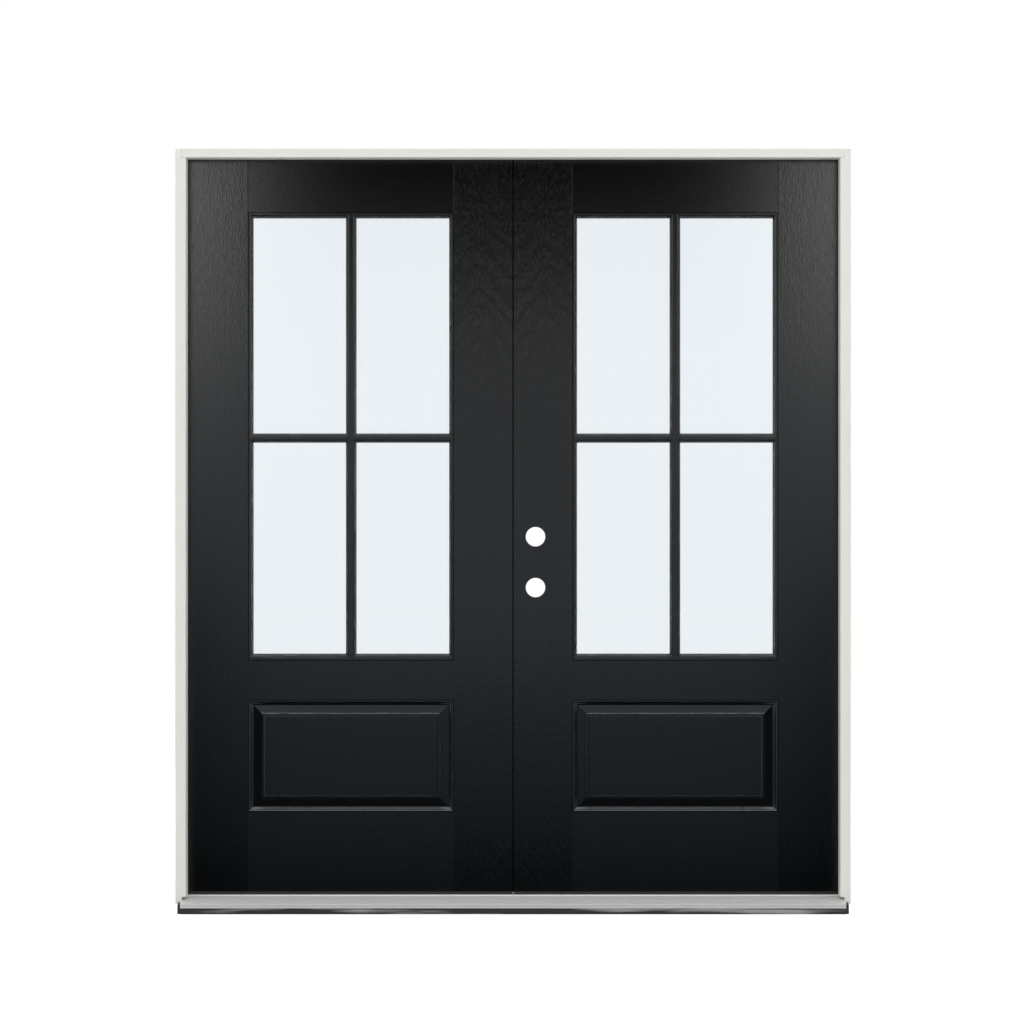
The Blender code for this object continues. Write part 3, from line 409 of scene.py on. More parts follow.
def thin_paint_and_highlight(add, raised, on_stile, z):
    """Where the paint is thin: on the sharp ridges of the stiles, and low on the rails.

    The lighter ridge paint is strongest high up, as painted highlight where the light on the stiles
    is brightest. Feet and brooms leave scuffs on the rails low down.
    """
    # painted highlight: the lighter ridge paint is strongest round one height high on the stiles
    # and fades away from it
    offset = add("Math", {0: z, 1: RIDGE_HIGHLIGHT_ZONE[0]}, operation="SUBTRACT")
    from_brightest_ridges = add("Math", {0: offset}, operation="ABSOLUTE")
    ridge_highlight = add("MapRange", {
        "Value": from_brightest_ridges, "From Min": RIDGE_HIGHLIGHT_ZONE[1], "From Max": RIDGE_HIGHLIGHT_ZONE[2],
        "To Min": 1.0, "To Max": 0.15,
    }, interpolation_type="SMOOTHSTEP")
    ridge_highlight = add("Math", {0: ridge_highlight, 1: on_stile}, operation="MULTIPLY")
    ridge = add("MapRange", {"Value": raised, "From Min": 0.45, "From Max": 0.68})
    ridge = add("Math", {0: ridge, 1: ridge_highlight}, operation="MULTIPLY")
    scuffs_and_shade = add("MapRange", {
        "Value": z, "From Min": SCUFF_ZONE[0], "From Max": SCUFF_ZONE[1], "To Max": 0.26,
    })
    off_stile = add("Math", {0: 1.0, 1: on_stile}, operation="SUBTRACT")
    return add("Math", {0: scuffs_and_shade, 1: off_stile, 2: ridge}, operation="MULTIPLY_ADD")


def cathedral_arches(add, u, z, spacing):
    """Rings of the log as arches up a stile, 1 on a ring, near the heart of the stile only."""
    drift = add("TexNoise", {
        "Vector": object_place(add), "Scale": 1 / (60 * MM), "Detail": 3.0,
    })
    across = add("Math", {0: u, 1: ARCH_HEART[0]}, operation="SUBTRACT")
    squared = add("Math", {
        0: across, 1: across, 2: ARCH_TIP_RADIUS ** 2,
    }, operation="MULTIPLY_ADD")
    vee = add("Math", {0: squared}, operation="SQRT")
    level = add("Math", {0: vee, 1: ARCH_STEEPNESS, 2: z}, operation="MULTIPLY_ADD")
    level = add("Math", {0: drift, 1: ARCH_DRIFT, 2: level}, operation="MULTIPLY_ADD")
    turns = add("Math", {0: level, 1: 2 * math.pi / spacing}, operation="MULTIPLY")
    wave = add("Math", {0: turns}, operation="SINE")
    rings = add("Math", {0: wave, 1: 0.5, 2: 0.5}, operation="MULTIPLY_ADD")
    rings = add("Math", {0: rings, 1: 1.6}, operation="POWER")
    offset = add("Math", {0: z, 1: ARCH_HEART[1]}, operation="SUBTRACT")
    from_heart = add("Math", {0: offset}, operation="ABSOLUTE")
    near_heart = add("MapRange", {
        "Value": from_heart, "From Min": ARCH_FADE[0], "From Max": ARCH_FADE[1],
        "To Min": 1.0, "To Max": 0.0,
    }, interpolation_type="SMOOTHSTEP")
    return add("Math", {0: rings, 1: near_heart}, operation="MULTIPLY")


def moulded_grille_paint(paint):
    """The same satin paint on injection-moulded grilles, which have no grain.

    Moulded plastic is smoother than the skins, with a soft orange peel under the paint.
    """
    material, shader, add = new_material("moulded_grille_paint", paint.colour, 0.19)
    place = object_place(add)
    peel = add("TexNoise", {
        "Vector": place, "Scale": 1 / (2.4 * MM), "Detail": 3.0, "Roughness": 0.5,
    })
    flow = add("TexNoise", {"Vector": place, "Scale": 1 / (60 * MM), "Detail": 2.0})
    bump = add("Bump", {"Height": peel, "Strength": 0.2, "Distance": 0.06 * MM})
    thin = add("Math", {0: flow, 1: 0.6}, operation="MULTIPLY")
    colour = add("Mix", {
        "Factor": thin, 6: opaque(paint.colour), 7: opaque(paint.ridge_colour),
    }, data_type="RGBA").outputs[2]
    rough = add("MapRange", {
        "Value": peel, "From Min": 0.3, "From Max": 0.7, "To Min": 0.16, "To Max": 0.22,
    })
    feed(shader, {"Base Color": colour, "Roughness": rough, "Normal": bump})
    return material


def painted_composite(surround):
    """Low-sheen white paint on an extruded composite jamb.

    Flat and even, with the faint lengthwise drag of the extruder and a fine spray grain.
    """
    material, shader, add = new_material("painted_composite", surround.jamb_colour, 0.5)
    place = object_place(add)
    along = add("VectorMath", {0: place, 1: (1.0, 1.0, 0.02)}, operation="MULTIPLY")
    drag = add("TexNoise", {"Vector": along, "Scale": 1 / (5 * MM), "Detail": 3.0})
    spray = add("TexNoise", {"Vector": place, "Scale": 1 / (1.2 * MM), "Detail": 2.0})
    height = add("Math", {0: spray, 1: 0.4, 2: drag}, operation="MULTIPLY_ADD")
    bump = add("Bump", {"Height": height, "Strength": 0.3, "Distance": 0.08 * MM})
    half_drag = add("Math", {0: drag, 1: 0.5}, operation="MULTIPLY")
    colour = add("Mix", {
        "Factor": half_drag,
        6: opaque(surround.jamb_colour), 7: opaque(surround.jamb_colour, 0.93),
    }, data_type="RGBA").outputs[2]
    rough = add("MapRange", {"Value": drag, "To Min": 0.42, "To Max": 0.60})
    feed(shader, {
        "Base Color": colour, "Roughness": rough, "Normal": bump, "Specular IOR Level": 0.25,
    })
    return material


def laminated_stile(paint):
    """Laminated veneer lumber: raw inside the leaf, painted to match on its edges.

    Raw, it shows 3 mm veneers in two browns; on the edges they only print faintly
    through the paint.
    """
    material, shader, add = new_material("laminated_stile", linear("#a17a50"), 0.7)
    u, y, z = object_axes(add)
    turns = add("Math", {0: y, 1: 2 * math.pi / (6 * MM)}, operation="MULTIPLY")
    veneer = add("Math", {0: turns}, operation="SINE")
    along = add("VectorMath", {
        0: object_place(add), 1: (1.0, 1.0, 0.04),
    }, operation="MULTIPLY")
    fibre = add("TexNoise", {"Vector": along, "Scale": 1 / (1.5 * MM), "Detail": 4.0})
    tone = add("Math", {0: veneer, 1: 0.22, 2: fibre}, operation="MULTIPLY_ADD")
    raw = add("Mix", {
        "Factor": tone, 6: opaque(linear("#8a6238")), 7: opaque(linear("#c9a878")),
    }, data_type="RGBA").outputs[2]
    skin_lap = 0.4 * MM  # how near to a skin's edge the paint reaches round
    near_seam = add("Math", {0: u, 1: SKIN_LOW.x + skin_lap}, operation="LESS_THAN")
    near_hinge = add("Math", {0: u, 1: SKIN_HIGH.x - skin_lap}, operation="GREATER_THAN")
    near_top = add("Math", {0: z, 1: SKIN_HIGH.z - skin_lap}, operation="GREATER_THAN")
    painted = add("Math", {0: near_seam, 1: near_hinge}, operation="MAXIMUM")
    painted = add("Math", {0: painted, 1: near_top}, operation="MAXIMUM")
    colour = add("Mix", {
        "Factor": painted, 6: raw, 7: opaque(paint.colour),
    }, data_type="RGBA").outputs[2]
    bump = add("Bump", {"Height": tone, "Strength": 0.4, "Distance": 0.15 * MM})
    rough = add("MapRange", {"Value": painted, "To Min": 0.75, "To Max": 0.48})
    feed(shader, {
        "Base Color": colour, "Roughness": rough, "Normal": bump, "Specular IOR Level": 0.3,
    })
    return material


def polyurethane_foam():
    """Rigid foam poured between the skins: pale yellow, dull, with open cells at a cut."""
    material, shader, add = new_material("polyurethane_foam", linear("#e3d5a2"), 0.95)
    cells = add("TexVoronoi", {"Vector": object_place(add), "Scale": 1 / (1.6 * MM)})
    tones = opaque(linear("#cbb87e")), opaque(linear("#ece0b4"))
    tone_and_relief(add, shader, cells, tones, 0.6, 0.4 * MM)
    return material


def float_glass(glass):
    """Clear float glass, drawn flat on tin: smooth, with a trace of green in its depth."""
    material, shader, add = new_material("float_glass", glass.tint, 0.0)
    wave = add("TexNoise", {
        "Vector": object_place(add), "Scale": 1 / (240 * MM), "Detail": 1.0,
    })
    bump = add("Bump", {"Height": wave, "Strength": 0.05, "Distance": 0.2 * MM})
    feed(shader, {
        "Normal": bump, "IOR": 1.52, "Specular IOR Level": 0.1, "Transmission Weight": 1.0,
    })
    return material


def black_groove_shade():
    """Black and dull, with a faint ripple: a bead laid in the groove round a glazing frame as
    painted shade.
    """
    material, shader, add = new_material("black_groove_shade", linear("#070707"), 0.85)
    ripple = add("TexNoise", {
        "Vector": object_place(add), "Scale": 1 / (4 * MM), "Detail": 2.0,
    })
    tones = opaque(linear("#050505")), opaque(linear("#0d0d0d"))
    tone_and_relief(add, shader, ripple, tones, 0.4, 0.2 * MM)
    feed(shader, {"Specular IOR Level": 0.1})
    return material


def rolled_spacer():
    """Roll-formed aluminium spacer of a sealed unit: bright, and a little uneven in sheen."""
    material, shader, add = new_material("rolled_spacer", linear("#bfc1c2"), 0.35, 1.0)
    rolled = add("TexNoise", {
        "Vector": object_place(add), "Scale": 1 / (2 * MM), "Detail": 2.0,
    })
    rough = add("MapRange", {"Value": rolled, "To Min": 0.28, "To Max": 0.5})
    feed(shader, {"Roughness": rough})
    return material


def extruded_vinyl():
    """Black flexible vinyl, extruded: dull, with drag lines along its length."""
    material, shader, add = new_material("extruded_vinyl", linear("#2a2725"), 0.7)
    along = add("VectorMath", {
        0: object_place(add), 1: (0.02, 1.0, 1.0),
    }, operation="MULTIPLY")
    drag = add("TexNoise", {"Vector": along, "Scale": 1 / (0.8 * MM), "Detail": 2.0})
    tones = opaque(linear("#242120")), opaque(linear("#3a3533"))
    tone_and_relief(add, shader, drag, tones, 0.4, 0.1 * MM)
    return material


def woven_pile():
    """Black polypropylene pile, woven and cut: matt, with tufts some 1 mm apart."""
    material, shader, add = new_material("woven_pile", linear("#101010"), 0.95)
    tufts = add("TexVoronoi", {"Vector": object_place(add), "Scale": 1 / (1.0 * MM)})
    tones = opaque(linear("#1c1c1c")), opaque(linear("#080808"))
    tone_and_relief(add, shader, tufts, tones, 0.7, 0.3 * MM)
    return material


def foam_weatherstrip(surround):
    """Urethane foam in a thin polyethylene liner: matt brown with a fine pillowed weave."""
    material, shader, add = new_material("foam_weatherstrip", surround.strip_colour, 0.8)
    pillow = add("TexVoronoi", {"Vector": object_place(add), "Scale": 1 / (1.8 * MM)})
    tones = opaque(surround.strip_colour), opaque(surround.strip_colour, 1.5)
    tone_and_relief(add, shader, pillow, tones, 0.5, 0.2 * MM)
    return material


def mill_aluminium(surround):
    """Extruded aluminium with its mill finish: bright, with die lines along its length.

    Die lines are some 0.2 mm apart; they are drawn 1 mm apart so that they show.
    """
    material, shader, add = new_material("mill_aluminium", surround.aluminium_colour, 0.45, 0.12)
    place = object_place(add)
    _, y, z = object_axes(add)
    along = add("VectorMath", {0: place, 1: (0.006, 1.0, 1.0)}, operation="MULTIPLY")
    lines = add("TexNoise", {"Vector": along, "Scale": 1 / (1.0 * MM), "Detail": 3.0})
    bloom = add("TexNoise", {"Vector": place, "Scale": 1 / (70 * MM), "Detail": 3.0})
    bare = add("Mix", {
        "Factor": bloom,
        6: opaque(surround.aluminium_colour), 7: opaque(surround.aluminium_colour, 0.86),
    }, data_type="RGBA").outputs[2]

    # painted shade: the front of the nose is darkened towards a grey, so it is duller than the
    # tread
    scuffs_and_shade = add("MapRange", {
        "Value": y, "From Min": NOSE_Y + 4 * MM, "From Max": NOSE_Y + 1 * MM, "To Max": 0.45,
    })
    wear_and_painted_light = add("Mix", {
        "Factor": scuffs_and_shade, 6: bare, 7: opaque(linear("#8c8d8d")),
    }, data_type="RGBA").outputs[2]

    # painted shade in the recess along the foot of the nose: darkened towards near black, unevenly
    # in long runs
    under_lip = add("MapRange", {
        "Value": z, "From Min": NOSE_RECESS_Z + 1.5 * MM, "From Max": NOSE_RECESS_Z - 0.5 * MM,
    }, interpolation_type="SMOOTHSTEP")
    stretched = add("VectorMath", {0: place, 1: (3.0, 60.0, 60.0)}, operation="MULTIPLY")
    runs = add("TexNoise", {"Vector": stretched, "Scale": 1.0, "Detail": 3.0})
    recess_shade = add("MapRange", {
        "Value": runs, "From Min": 0.68, "From Max": 0.52, "To Min": 0.5, "To Max": 1.0,
    })
    recess_shade = add("Math", {0: under_lip, 1: recess_shade}, operation="MULTIPLY")
    colour = add("Mix", {
        "Factor": recess_shade, 6: wear_and_painted_light, 7: opaque(linear("#222222")),
    }, data_type="RGBA").outputs[2]
    unevenness = add("Math", {0: bloom, 1: 0.5, 2: lines}, operation="MULTIPLY_ADD")
    rough = add("MapRange", {
        "Value": unevenness, "From Min": 0.4, "From Max": 1.1, "To Min": 0.36, "To Max": 0.56,
    })
    bump = add("Bump", {"Height": lines, "Strength": 0.25, "Distance": 0.05 * MM})
    feed(shader, {"Base Color": colour, "Roughness": rough, "Normal": bump})
    return material


def moulded_substrate():
    """Black polypropylene under the deck: moulded, dull, with a fine spark-eroded grain."""
    material, shader, add = new_material("moulded_substrate", linear("#1b1b1c"), 0.65)
    spark = add("TexNoise", {
        "Vector": object_place(add), "Scale": 1 / (0.9 * MM), "Detail": 3.0,
    })
    tones = opaque(linear("#151516")), opaque(linear("#29292b"))
    tone_and_relief(add, shader, spark, tones, 0.5, 0.12 * MM)
    return material


def composite_cap(surround):
    """Wood-fibre composite, extruded for the threshold: matt, with streaks along it."""
    material, shader, add = new_material("composite_cap", surround.cap_colour, 0.6)
    along = add("VectorMath", {
        0: object_place(add), 1: (0.03, 1.0, 1.0),
    }, operation="MULTIPLY")
    streaks = add("TexNoise", {"Vector": along, "Scale": 1 / (2.5 * MM), "Detail": 4.0})
    tones = opaque(surround.cap_colour, 0.6), opaque(surround.cap_colour)
    tone_and_relief(add, shader, streaks, tones, 0.4, 0.15 * MM)
    return material


def satin_nickel(hardware):
    """Steel plated with nickel and brushed before the plating: a soft lengthwise sheen.

    The brush lines are 0.1 mm apart and are drawn 0.6 mm apart so that they show.
    """
    material, shader, add = new_material("satin_nickel", hardware.colour, 0.34, 1.0)
    along = add("VectorMath", {
        0: object_place(add), 1: (1.0, 1.0, 0.03),
    }, operation="MULTIPLY")
    brush = add("TexNoise", {"Vector": along, "Scale": 1 / (0.6 * MM), "Detail": 2.0})
    rough = add("MapRange", {
        "Value": brush, "From Min": 0.3, "From Max": 0.7, "To Min": 0.26, "To Max": 0.42,
    })
    colour = add("Mix", {
        "Factor": brush, 6: opaque(hardware.colour), 7: opaque(hardware.colour, 0.85),
    }, data_type="RGBA").outputs[2]
    feed(shader, {"Base Color": colour, "Roughness": rough})
    return material


# ---------------------------------------------------------------- pieces


def new_object(name, solid, material=None):
    """An object in the scene made from a bmesh, which is freed."""
    mesh = bpy.data.meshes.new(name)
    solid.to_mesh(mesh)
    solid.free()
    if material:
        mesh.materials.append(material)
    made = bpy.data.objects.new(name, mesh)
    bpy.context.scene.collection.objects.link(made)
    return made


def screw_head(diameter, rise):
    """A raised countersunk head along +Z with a cross recess, as a new mesh."""
    radius = diameter / 2
    solid = bmesh.new()
    profile = [
        (0.0, rise),
        (0.35 * radius, 0.97 * rise),
        (0.68 * radius, 0.78 * rise),
        (0.9 * radius, 0.42 * rise),
        (radius, 0.0),
        (0.5 * radius, -0.55 * radius),
        (0.0, -0.55 * radius),
    ]
    verts = [solid.verts.new((r, 0.0, h)) for r, h in profile]
    edges = [solid.edges.new(pair) for pair in zip(verts, verts[1:])]
    bmesh.ops.spin(
        solid, geom=verts + edges, axis=(0, 0, 1), cent=(0, 0, 0), angle=2 * math.pi, steps=24
    )
    bmesh.ops.remove_doubles(solid, verts=solid.verts, dist=0.01 * MM)
    bmesh.ops.recalc_face_normals(solid, faces=solid.faces)
    head = new_object("screw_head", solid)

    # two crossed arms, each narrower at its foot, as the driver's tip is
    arms = bmesh.new()
    for turn in (0.0, math.pi / 2):
        arm = bmesh.ops.create_cube(arms, size=1.0)["verts"]
        bmesh.ops.scale(arms, verts=arm, vec=(1.1 * radius, 0.24 * radius, 2.4 * rise))
        for vert in arm:
            if vert.co.z < 0:
                vert.co.x *= 0.4
                vert.co.y *= 0.7
        bmesh.ops.rotate(arms, verts=arm, matrix=Matrix.Rotation(turn, 3, "Z"))
        bmesh.ops.translate(arms, verts=arm, vec=(0, 0, 1.25 * rise))
    recess = new_object("cross_recess", arms)

    modifier = head.modifiers.new("cross_recess", "BOOLEAN")
    modifier.operation = "DIFFERENCE"
    modifier.use_self = True
    modifier.object = recess
    bpy.context.view_layer.update()
    cut = bpy.data.meshes.new_from_object(head.evaluated_get(bpy.context.evaluated_depsgraph_get()))
    bpy.data.objects.remove(head, do_unlink=True)
    bpy.data.objects.remove(recess, do_unlink=True)
    return cut


def fit_screws(name, body, material, places, diameter, rise):
    """One piece of all the screws at these (position, direction) places on a body."""
    head = screw_head(diameter, rise)
    solid = bmesh.new()
    for position, direction in places:
        start = len(solid.verts)
        solid.from_mesh(head)
        solid.verts.ensure_lookup_table()
        turn = Vector(direction).to_track_quat("Z", "Y").to_matrix().to_4x4()
        twist = Matrix.Rotation(position[2] * SCREW_TWIST, 4, "Z")
        bmesh.ops.transform(
            solid, matrix=Matrix.Translation(position) @ turn @ twist, verts=solid.verts[start:]
        )
    piece = new_object(name, solid, material)
    piece.data.shade_smooth()
    piece.data.set_sharp_from_angle(angle=SCREW_SHARP_ANGLE)
    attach(piece, body)


def hinge_screw_places(side, half):
    """Four screws in each plate, staggered across it, facing into the gap."""
    sign = -1 if side == "left" else 1
    plate_u = {"jamb": JAMB_PLATE_U, "leaf": SKIN_HIGH.x}[half]
    facing = {"jamb": (-sign, 0, 0), "leaf": (sign, 0, 0)}[half]
    places = []
    for number in (1, 2, 3):
        low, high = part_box(f"hinge_{half}_half_{side}_{number}")
        middle = (low.z + high.z) / 2
        for step, y in HINGE_SCREWS:
            places.append(((sign * plate_u, y, middle + step), facing))
    return places


def plate_screw_places(name, facing, spread, axis):
    """Two screws in a plate, this far either side of its centre along an axis."""
    low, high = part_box(name)
    centre = (low + high) / 2
    for i, value in enumerate(facing):
        if value:
            centre[i] = high[i] if value > 0 else low[i]
    step = Vector([spread if i == axis else 0.0 for i in range(3)])
    return [(tuple(centre - step), facing), (tuple(centre + step), facing)]


def lay_groove_shade(name, surround, outward, material, body):
    """A black bead in the groove round a light's frame, on the face that looks outward, as painted
    shade where the groove's shadow falls.
    """
    low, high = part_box(surround)
    face = low.y if outward > 0 else high.y
    solid = bmesh.new()
    loops = []
    for inward, depth in BEAD_IN_GROOVE:
        left, right = low.x + inward, high.x - inward
        bottom, top = low.z + inward, high.z - inward
        y = face + outward * depth
        corners = ((left, bottom), (right, bottom), (right, top), (left, top))
        loops.append([solid.verts.new((x, y, z)) for x, z in corners])
    for one, two in zip(loops, loops[1:] + loops[:1]):
        for n in range(4):
            solid.faces.new((one[n], one[(n + 1) % 4], two[(n + 1) % 4], two[n]))
    bmesh.ops.recalc_face_normals(solid, faces=solid.faces)
    bead = new_object(name, solid, material)
    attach(bead, body)


def fit_meeting_pile(material):
    """A fin of pile on the passive leaf, pressed a little against the active leaf's edge."""
    low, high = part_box("meeting_seal")
    solid = bmesh.new()
    outline = [solid.verts.new((x, low.y - forward, low.z)) for x, forward in PILE_OUTLINE]
    grown = bmesh.ops.extrude_face_region(solid, geom=[solid.faces.new(outline)])["geom"]
    moved = [v for v in grown if isinstance(v, bmesh.types.BMVert)]
    bmesh.ops.translate(solid, verts=moved, vec=(0, 0, high.z - low.z))
    bmesh.ops.recalc_face_normals(solid, faces=solid.faces)
    pile = new_object("meeting_pile", solid, material)
    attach(pile, "left_leaf")


# ---------------------------------------------------------------- studio


def seen_directly(add):
    """1 for a ray from the camera, from a glossy surface or through glass."""
    path = add("LightPath").outputs
    seen = add("Math", {
        0: path["Is Camera Ray"], 1: path["Is Glossy Ray"],
    }, operation="MAXIMUM")
    return add("Math", {0: seen, 1: path["Is Transmission Ray"]}, operation="MAXIMUM")


def studio_paper(studio):
    """Pale seamless paper: matt, lit by the lamps, and glowing enough to read as white."""
    material, shader, add = new_material("studio_paper", studio.floor_colour, 0.9)
    feed(shader, {"Specular IOR Level": 0.0})
    missing = 1.0 - studio.ambient * studio.floor_colour[1]
    strength = add("Math", {0: seen_directly(add), 1: missing}, operation="MULTIPLY")
    glow = add("Emission", {"Color": opaque(WHITE), "Strength": strength})
    surface = add("AddShader", {0: shader, 1: glow})
    feed(material.node_tree.nodes["Material Output"], {"Surface": surface})
    return material


def graded_scrim(studio):
    """The scrim's glow: dark at the foot, and brightest high up at its two sides."""
    material, _, add = new_material("graded_scrim", BLACK, 1.0)
    u, _, z = object_axes(add)
    up = add("Math", {0: z, 1: SCRIM_HEIGHT}, operation="DIVIDE")
    levels = [(height, [glow / SCRIM_SCALE for glow in glows]) for height, *glows in SCRIM_GLOW]
    middle, sides, far = add("SeparateColor", {"Color": up_scrim(add, up, levels)}).outputs
    outward, far_out = (
        add("MapRange", {"Value": u, "From Min": start, "From Max": end})
        for start, end in (SCRIM_FADE, SCRIM_FAR)
    )
    outward = add("Math", {0: outward, 1: SCRIM_FADE_POWER}, operation="POWER")
    level = add("Mix", {"Factor": outward, 2: middle, 3: sides}, data_type="FLOAT")
    level = add("Mix", {"Factor": far_out, 2: level, 3: far}, data_type="FLOAT")
    strength = add("Math", {
        0: level, 1: 2 * SCRIM_SCALE * studio.scrim_level,
    }, operation="MULTIPLY")
    tints = [(height, [part / 2 for part in tint]) for height, tint in SCRIM_TINT]
    light = add("Emission", {"Color": up_scrim(add, up, tints), "Strength": strength})
    feed(material.node_tree.nodes["Material Output"], {"Surface": light})
    return material


def up_scrim(add, up, stops):
    """Colour against height, from (height, (red, green, blue)) stops."""
    ramp = add("ValToRGB", {"Fac": up})
    elements = ramp.color_ramp.elements
    while len(elements) < len(stops):
        elements.new(1.0)
    for element, (height, colour) in zip(elements, stops):
        element.position = height / SCRIM_HEIGHT
        element.color = (*colour, 1.0)
    return ramp


def hang_scrim(studio):
    """A tall sheet that bends forward along the floor, seen only in glossy surfaces."""
    sheet = bmesh.new()
    rows = []
    for y, z in SCRIM_BEND:
        rows.append([sheet.verts.new((x, y, z)) for x in (-SCRIM_HALF_WIDTH, SCRIM_HALF_WIDTH)])
    for (a, b), (c, d) in zip(rows, rows[1:]):
        sheet.faces.new((a, b, d, c))
    scrim = new_object("scrim", sheet, graded_scrim(studio))
    for name, value in GLOSSY_ONLY.items():
        setattr(scrim, name, value)


def lay_sheet(name, place, size, material, **visibility):
    """A flat, level sheet of the studio."""
    mesh = bpy.data.meshes.new(name)
    a, b = size[0] / 2, size[1] / 2
    mesh.from_pydata([(-a, -b, 0), (a, -b, 0), (a, b, 0), (-a, b, 0)], [], [(0, 1, 2, 3)])
    mesh.materials.append(material)
    sheet = bpy.data.objects.new(name, mesh)
    sheet.location = place
    for setting, value in visibility.items():
        setattr(sheet, setting, value)
    bpy.context.scene.collection.objects.link(sheet)


def hang_top_light(studio):
    """A bright card above and before the door, seen only by edges that face upward."""
    material, _, add = new_material("top_light", BLACK, 1.0)
    light = add("Emission", {"Strength": TOP_LIGHT_GLOW * studio.scrim_level})
    feed(material.node_tree.nodes["Material Output"], {"Surface": light})
    near, far = TOP_LIGHT_Y
    place = (0, (near + far) / 2, TOP_LIGHT_Z)
    lay_sheet("top_light", place, (2 * SCRIM_HALF_WIDTH, far - near), material, **GLOSSY_ONLY)


def hang_lamps(studio):
    """The soft lamps round the door, each at its share of the side lamps' power."""
    for name, place, target, size, share, in_gloss in LAMPS:
        data = bpy.data.lights.new(name, "AREA")
        data.shape = "RECTANGLE"
        data.size, data.size_y = size
        data.energy = share * studio.side_power
        lamp = bpy.data.objects.new(name, data)
        lamp.location = place
        aim = Vector(target) - Vector(place)
        lamp.rotation_euler = aim.to_track_quat("-Z", "Y").to_euler()
        lamp.visible_glossy = in_gloss
        bpy.context.scene.collection.objects.link(lamp)


def fill_with_light(studio):
    """Even white light from all round, which is brighter where it is seen directly."""
    world = bpy.data.worlds.new("studio_light")
    world.use_nodes = True
    bpy.context.scene.world = world
    add = functools.partial(add_node, world.node_tree)
    level = add("Mix", {
        "Factor": seen_directly(add), 2: studio.ambient, 3: 1.0,
    }, data_type="FLOAT")
    feed(world.node_tree.nodes["Background"], {"Strength": level, "Color": opaque(WHITE)})


def place_camera(studio):
    """A long lens square to the door, so that both jambs stand upright."""
    camera = bpy.data.objects.new("camera", bpy.data.cameras.new("camera"))
    camera.data.lens = studio.focal_length
    camera.location = (CAMERA_X, -studio.distance, studio.height)
    camera.rotation_euler = (math.pi / 2, 0, 0)
    bpy.context.scene.collection.objects.link(camera)
    bpy.context.scene.camera = camera


# ---------------------------------------------------------------- operators


def settings():
    """The door's settings in this scene."""
    return bpy.context.scene.entry_door


class ENTRYDOOR_OT_paint_leaves(bpy.types.Operator):
    """Paint the grained skins and the moulded grilles of both leaves"""

    bl_idname = "entry_door.paint_leaves"
    bl_label = "Paint the leaves"

    def execute(self, context):
        paint = settings().paint
        finish_with(grained_fiberglass_paint(paint), *both("exterior_skin", "interior_skin"))
        grilles = both("exterior_lite_frame", "interior_lite_frame")
        finish_with(moulded_grille_paint(paint), *grilles)
        return {"FINISHED"}


class ENTRYDOOR_OT_finish_cores(bpy.types.Operator):
    """Finish the stiles, rails, lock block and foam inside the leaves"""

    bl_idname = "entry_door.finish_cores"
    bl_label = "Finish the cores"

    def execute(self, context):
        lumber = [n for n in NODES if "_stile" in n or n.endswith(("_rail", "_lock_block"))]
        finish_with(laminated_stile(settings().paint), *lumber)
        finish_with(polyurethane_foam(), *both("foam_core"))
        return {"FINISHED"}


class ENTRYDOOR_OT_glaze(bpy.types.Operator):
    """Glaze both leaves with sealed units, and lay black beads of painted shade in the grooves
    round their frames
    """

    bl_idname = "entry_door.glaze"
    bl_label = "Glaze"

    def execute(self, context):
        finish_with(float_glass(settings().glass), *both("outer_pane", "inner_pane"))
        finish_with(rolled_spacer(), *both("glass_spacer"))
        # black beads of painted shade in the grooves round the glazing frames
        shade_bead = black_groove_shade()
        for side in ("left", "right"):
            for face, outward in (("exterior", 1), ("interior", -1)):
                light = f"{side}_{face}_lite_frame"
                lay_groove_shade(f"{side}_{face}_sealant", light, outward, shade_bead, f"{side}_leaf")
        return {"FINISHED"}


class ENTRYDOOR_OT_paint_frame(bpy.types.Operator):
    """Paint the jambs and the head"""

    bl_idname = "entry_door.paint_frame"
    bl_label = "Paint the frame"

    def execute(self, context):
        finish_with(painted_composite(settings().surround), "head_jamb", *both("jamb"))
        return {"FINISHED"}


class ENTRYDOOR_OT_fit_seals(bpy.types.Operator):
    """Finish the weatherstrips, corner pads, sweeps and the seal between the leaves"""

    bl_idname = "entry_door.fit_seals"
    bl_label = "Fit the seals"

    def execute(self, context):
        strips = [n for n in NODES if n.startswith(("weatherstrip", "corner_pad"))]
        finish_with(foam_weatherstrip(settings().surround), *strips)
        finish_with(extruded_vinyl(), "meeting_seal", *both("sweep"))
        fit_meeting_pile(woven_pile())
        return {"FINISHED"}


class ENTRYDOOR_OT_finish_sill(bpy.types.Operator):
    """Finish the sill deck, its substrate and the threshold cap"""

    bl_idname = "entry_door.finish_sill"
    bl_label = "Finish the sill"

    def execute(self, context):
        surround = settings().surround
        finish_with(mill_aluminium(surround), "sill_deck")
        finish_with(moulded_substrate(), "sill_base")
        finish_with(composite_cap(surround), "threshold_cap")
        return {"FINISHED"}


class ENTRYDOOR_OT_fit_hardware(bpy.types.Operator):
    """Plate the hinges, strikes and bolts, and fit their screws"""

    bl_idname = "entry_door.fit_hardware"
    bl_label = "Fit the hardware"

    def execute(self, context):
        hardware = settings().hardware
        nickel = satin_nickel(hardware)
        plated = [n for n in NODES if n.startswith("hinge_") or "strike" in n or "flush_bolt" in n]
        finish_with(nickel, *plated)
        size = (hardware.head_diameter, hardware.head_rise)
        places = {
            "frame": hinge_screw_places("left", "jamb") + hinge_screw_places("right", "jamb"),
            "left_leaf": hinge_screw_places("left", "leaf"),
            "right_leaf": hinge_screw_places("right", "leaf"),
        }
        for body, plate, facing, spread, axis in SCREWED_PLATES:
            places[body] += plate_screw_places(plate, facing, spread, axis)
        for body in places:
            fit_screws(f"{body}_screws", body, nickel, places[body], *size)
        return {"FINISHED"}


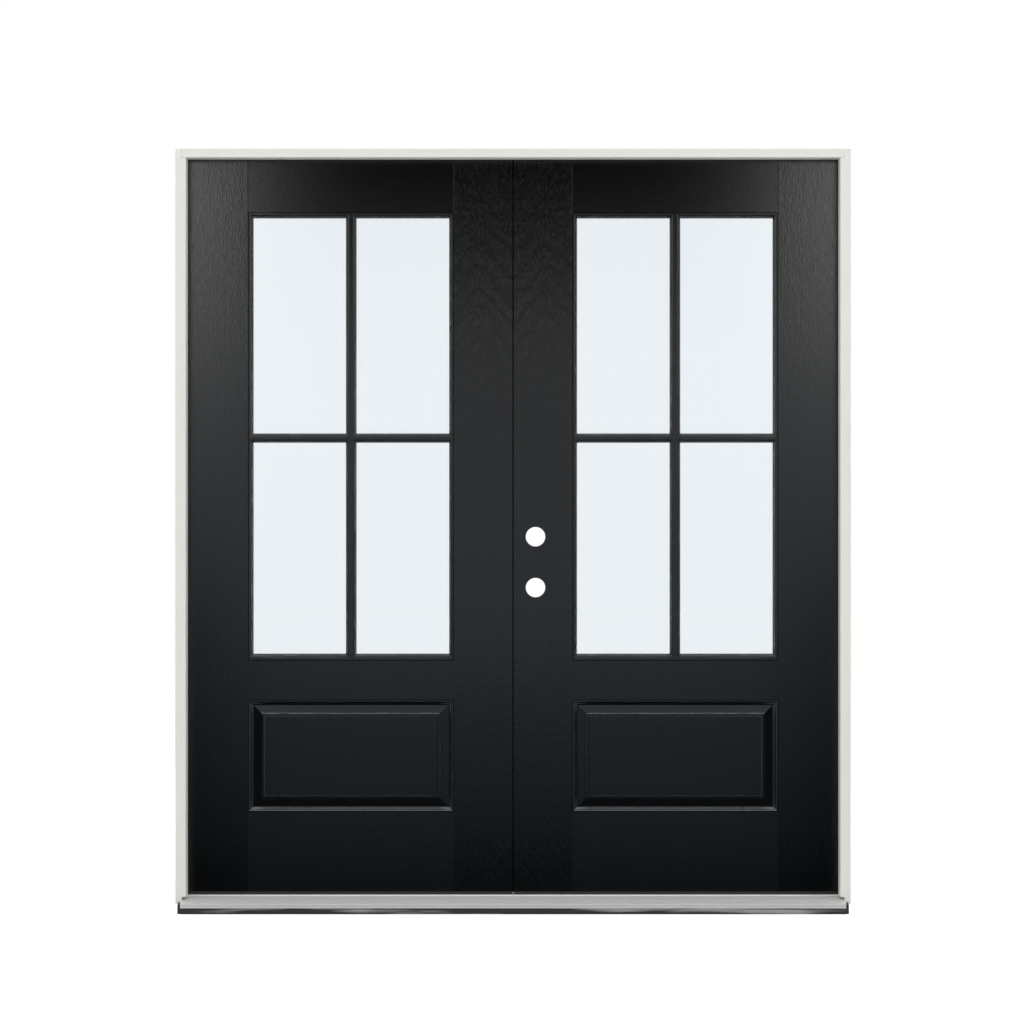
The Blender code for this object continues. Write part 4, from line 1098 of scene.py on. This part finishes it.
class ENTRYDOOR_OT_set_stage(bpy.types.Operator):
    """Set the floor, the lamps and the camera"""

    bl_idname = "entry_door.set_stage"
    bl_label = "Set the stage"

    def execute(self, context):
        studio = settings().studio
        lay_sheet("studio_floor", (0, 0, 0), (FLOOR_SIZE, FLOOR_SIZE), studio_paper(studio))
        fill_with_light(studio)
        hang_scrim(studio)
        hang_top_light(studio)
        hang_lamps(studio)
        place_camera(studio)
        context.scene.view_settings.view_transform = "Standard"
        return {"FINISHED"}


class ENTRYDOOR_PT_sidebar(bpy.types.Panel):
    """Settings and steps of the entry door."""

    bl_label = "Entry Door"
    bl_idname = "ENTRYDOOR_PT_sidebar"
    bl_space_type = "VIEW_3D"
    bl_region_type = "UI"
    bl_category = "Entry Door"

    def draw(self, context):
        door = context.scene.entry_door
        for group in (door.paint, door.surround, door.glass, door.hardware, door.studio):
            box = self.layout.box()
            for name in group.__annotations__:
                box.prop(group, name)
        for operator in OPERATORS:
            self.layout.operator(operator.bl_idname)


SETTINGS = (
    PaintSettings, FrameSettings, GlassSettings, HardwareSettings, StudioSettings,
    EntryDoorSettings,
)
OPERATORS = (
    ENTRYDOOR_OT_paint_leaves,
    ENTRYDOOR_OT_finish_cores,
    ENTRYDOOR_OT_glaze,
    ENTRYDOOR_OT_paint_frame,
    ENTRYDOOR_OT_fit_seals,
    ENTRYDOOR_OT_finish_sill,
    ENTRYDOOR_OT_fit_hardware,
    ENTRYDOOR_OT_set_stage,
)


def register():
    for each in (*SETTINGS, *OPERATORS, ENTRYDOOR_PT_sidebar):
        bpy.utils.register_class(each)
    bpy.types.Scene.entry_door = bpy.props.PointerProperty(type=EntryDoorSettings)


def unregister():
    del bpy.types.Scene.entry_door
    for each in reversed((*SETTINGS, *OPERATORS, ENTRYDOOR_PT_sidebar)):
        bpy.utils.unregister_class(each)


def main():
    register()
    bpy.ops.entry_door.paint_leaves()
    bpy.ops.entry_door.finish_cores()
    bpy.ops.entry_door.glaze()
    bpy.ops.entry_door.paint_frame()
    bpy.ops.entry_door.fit_seals()
    bpy.ops.entry_door.finish_sill()
    bpy.ops.entry_door.fit_hardware()
    bpy.ops.entry_door.set_stage()


if __name__ == "__main__":
    main()
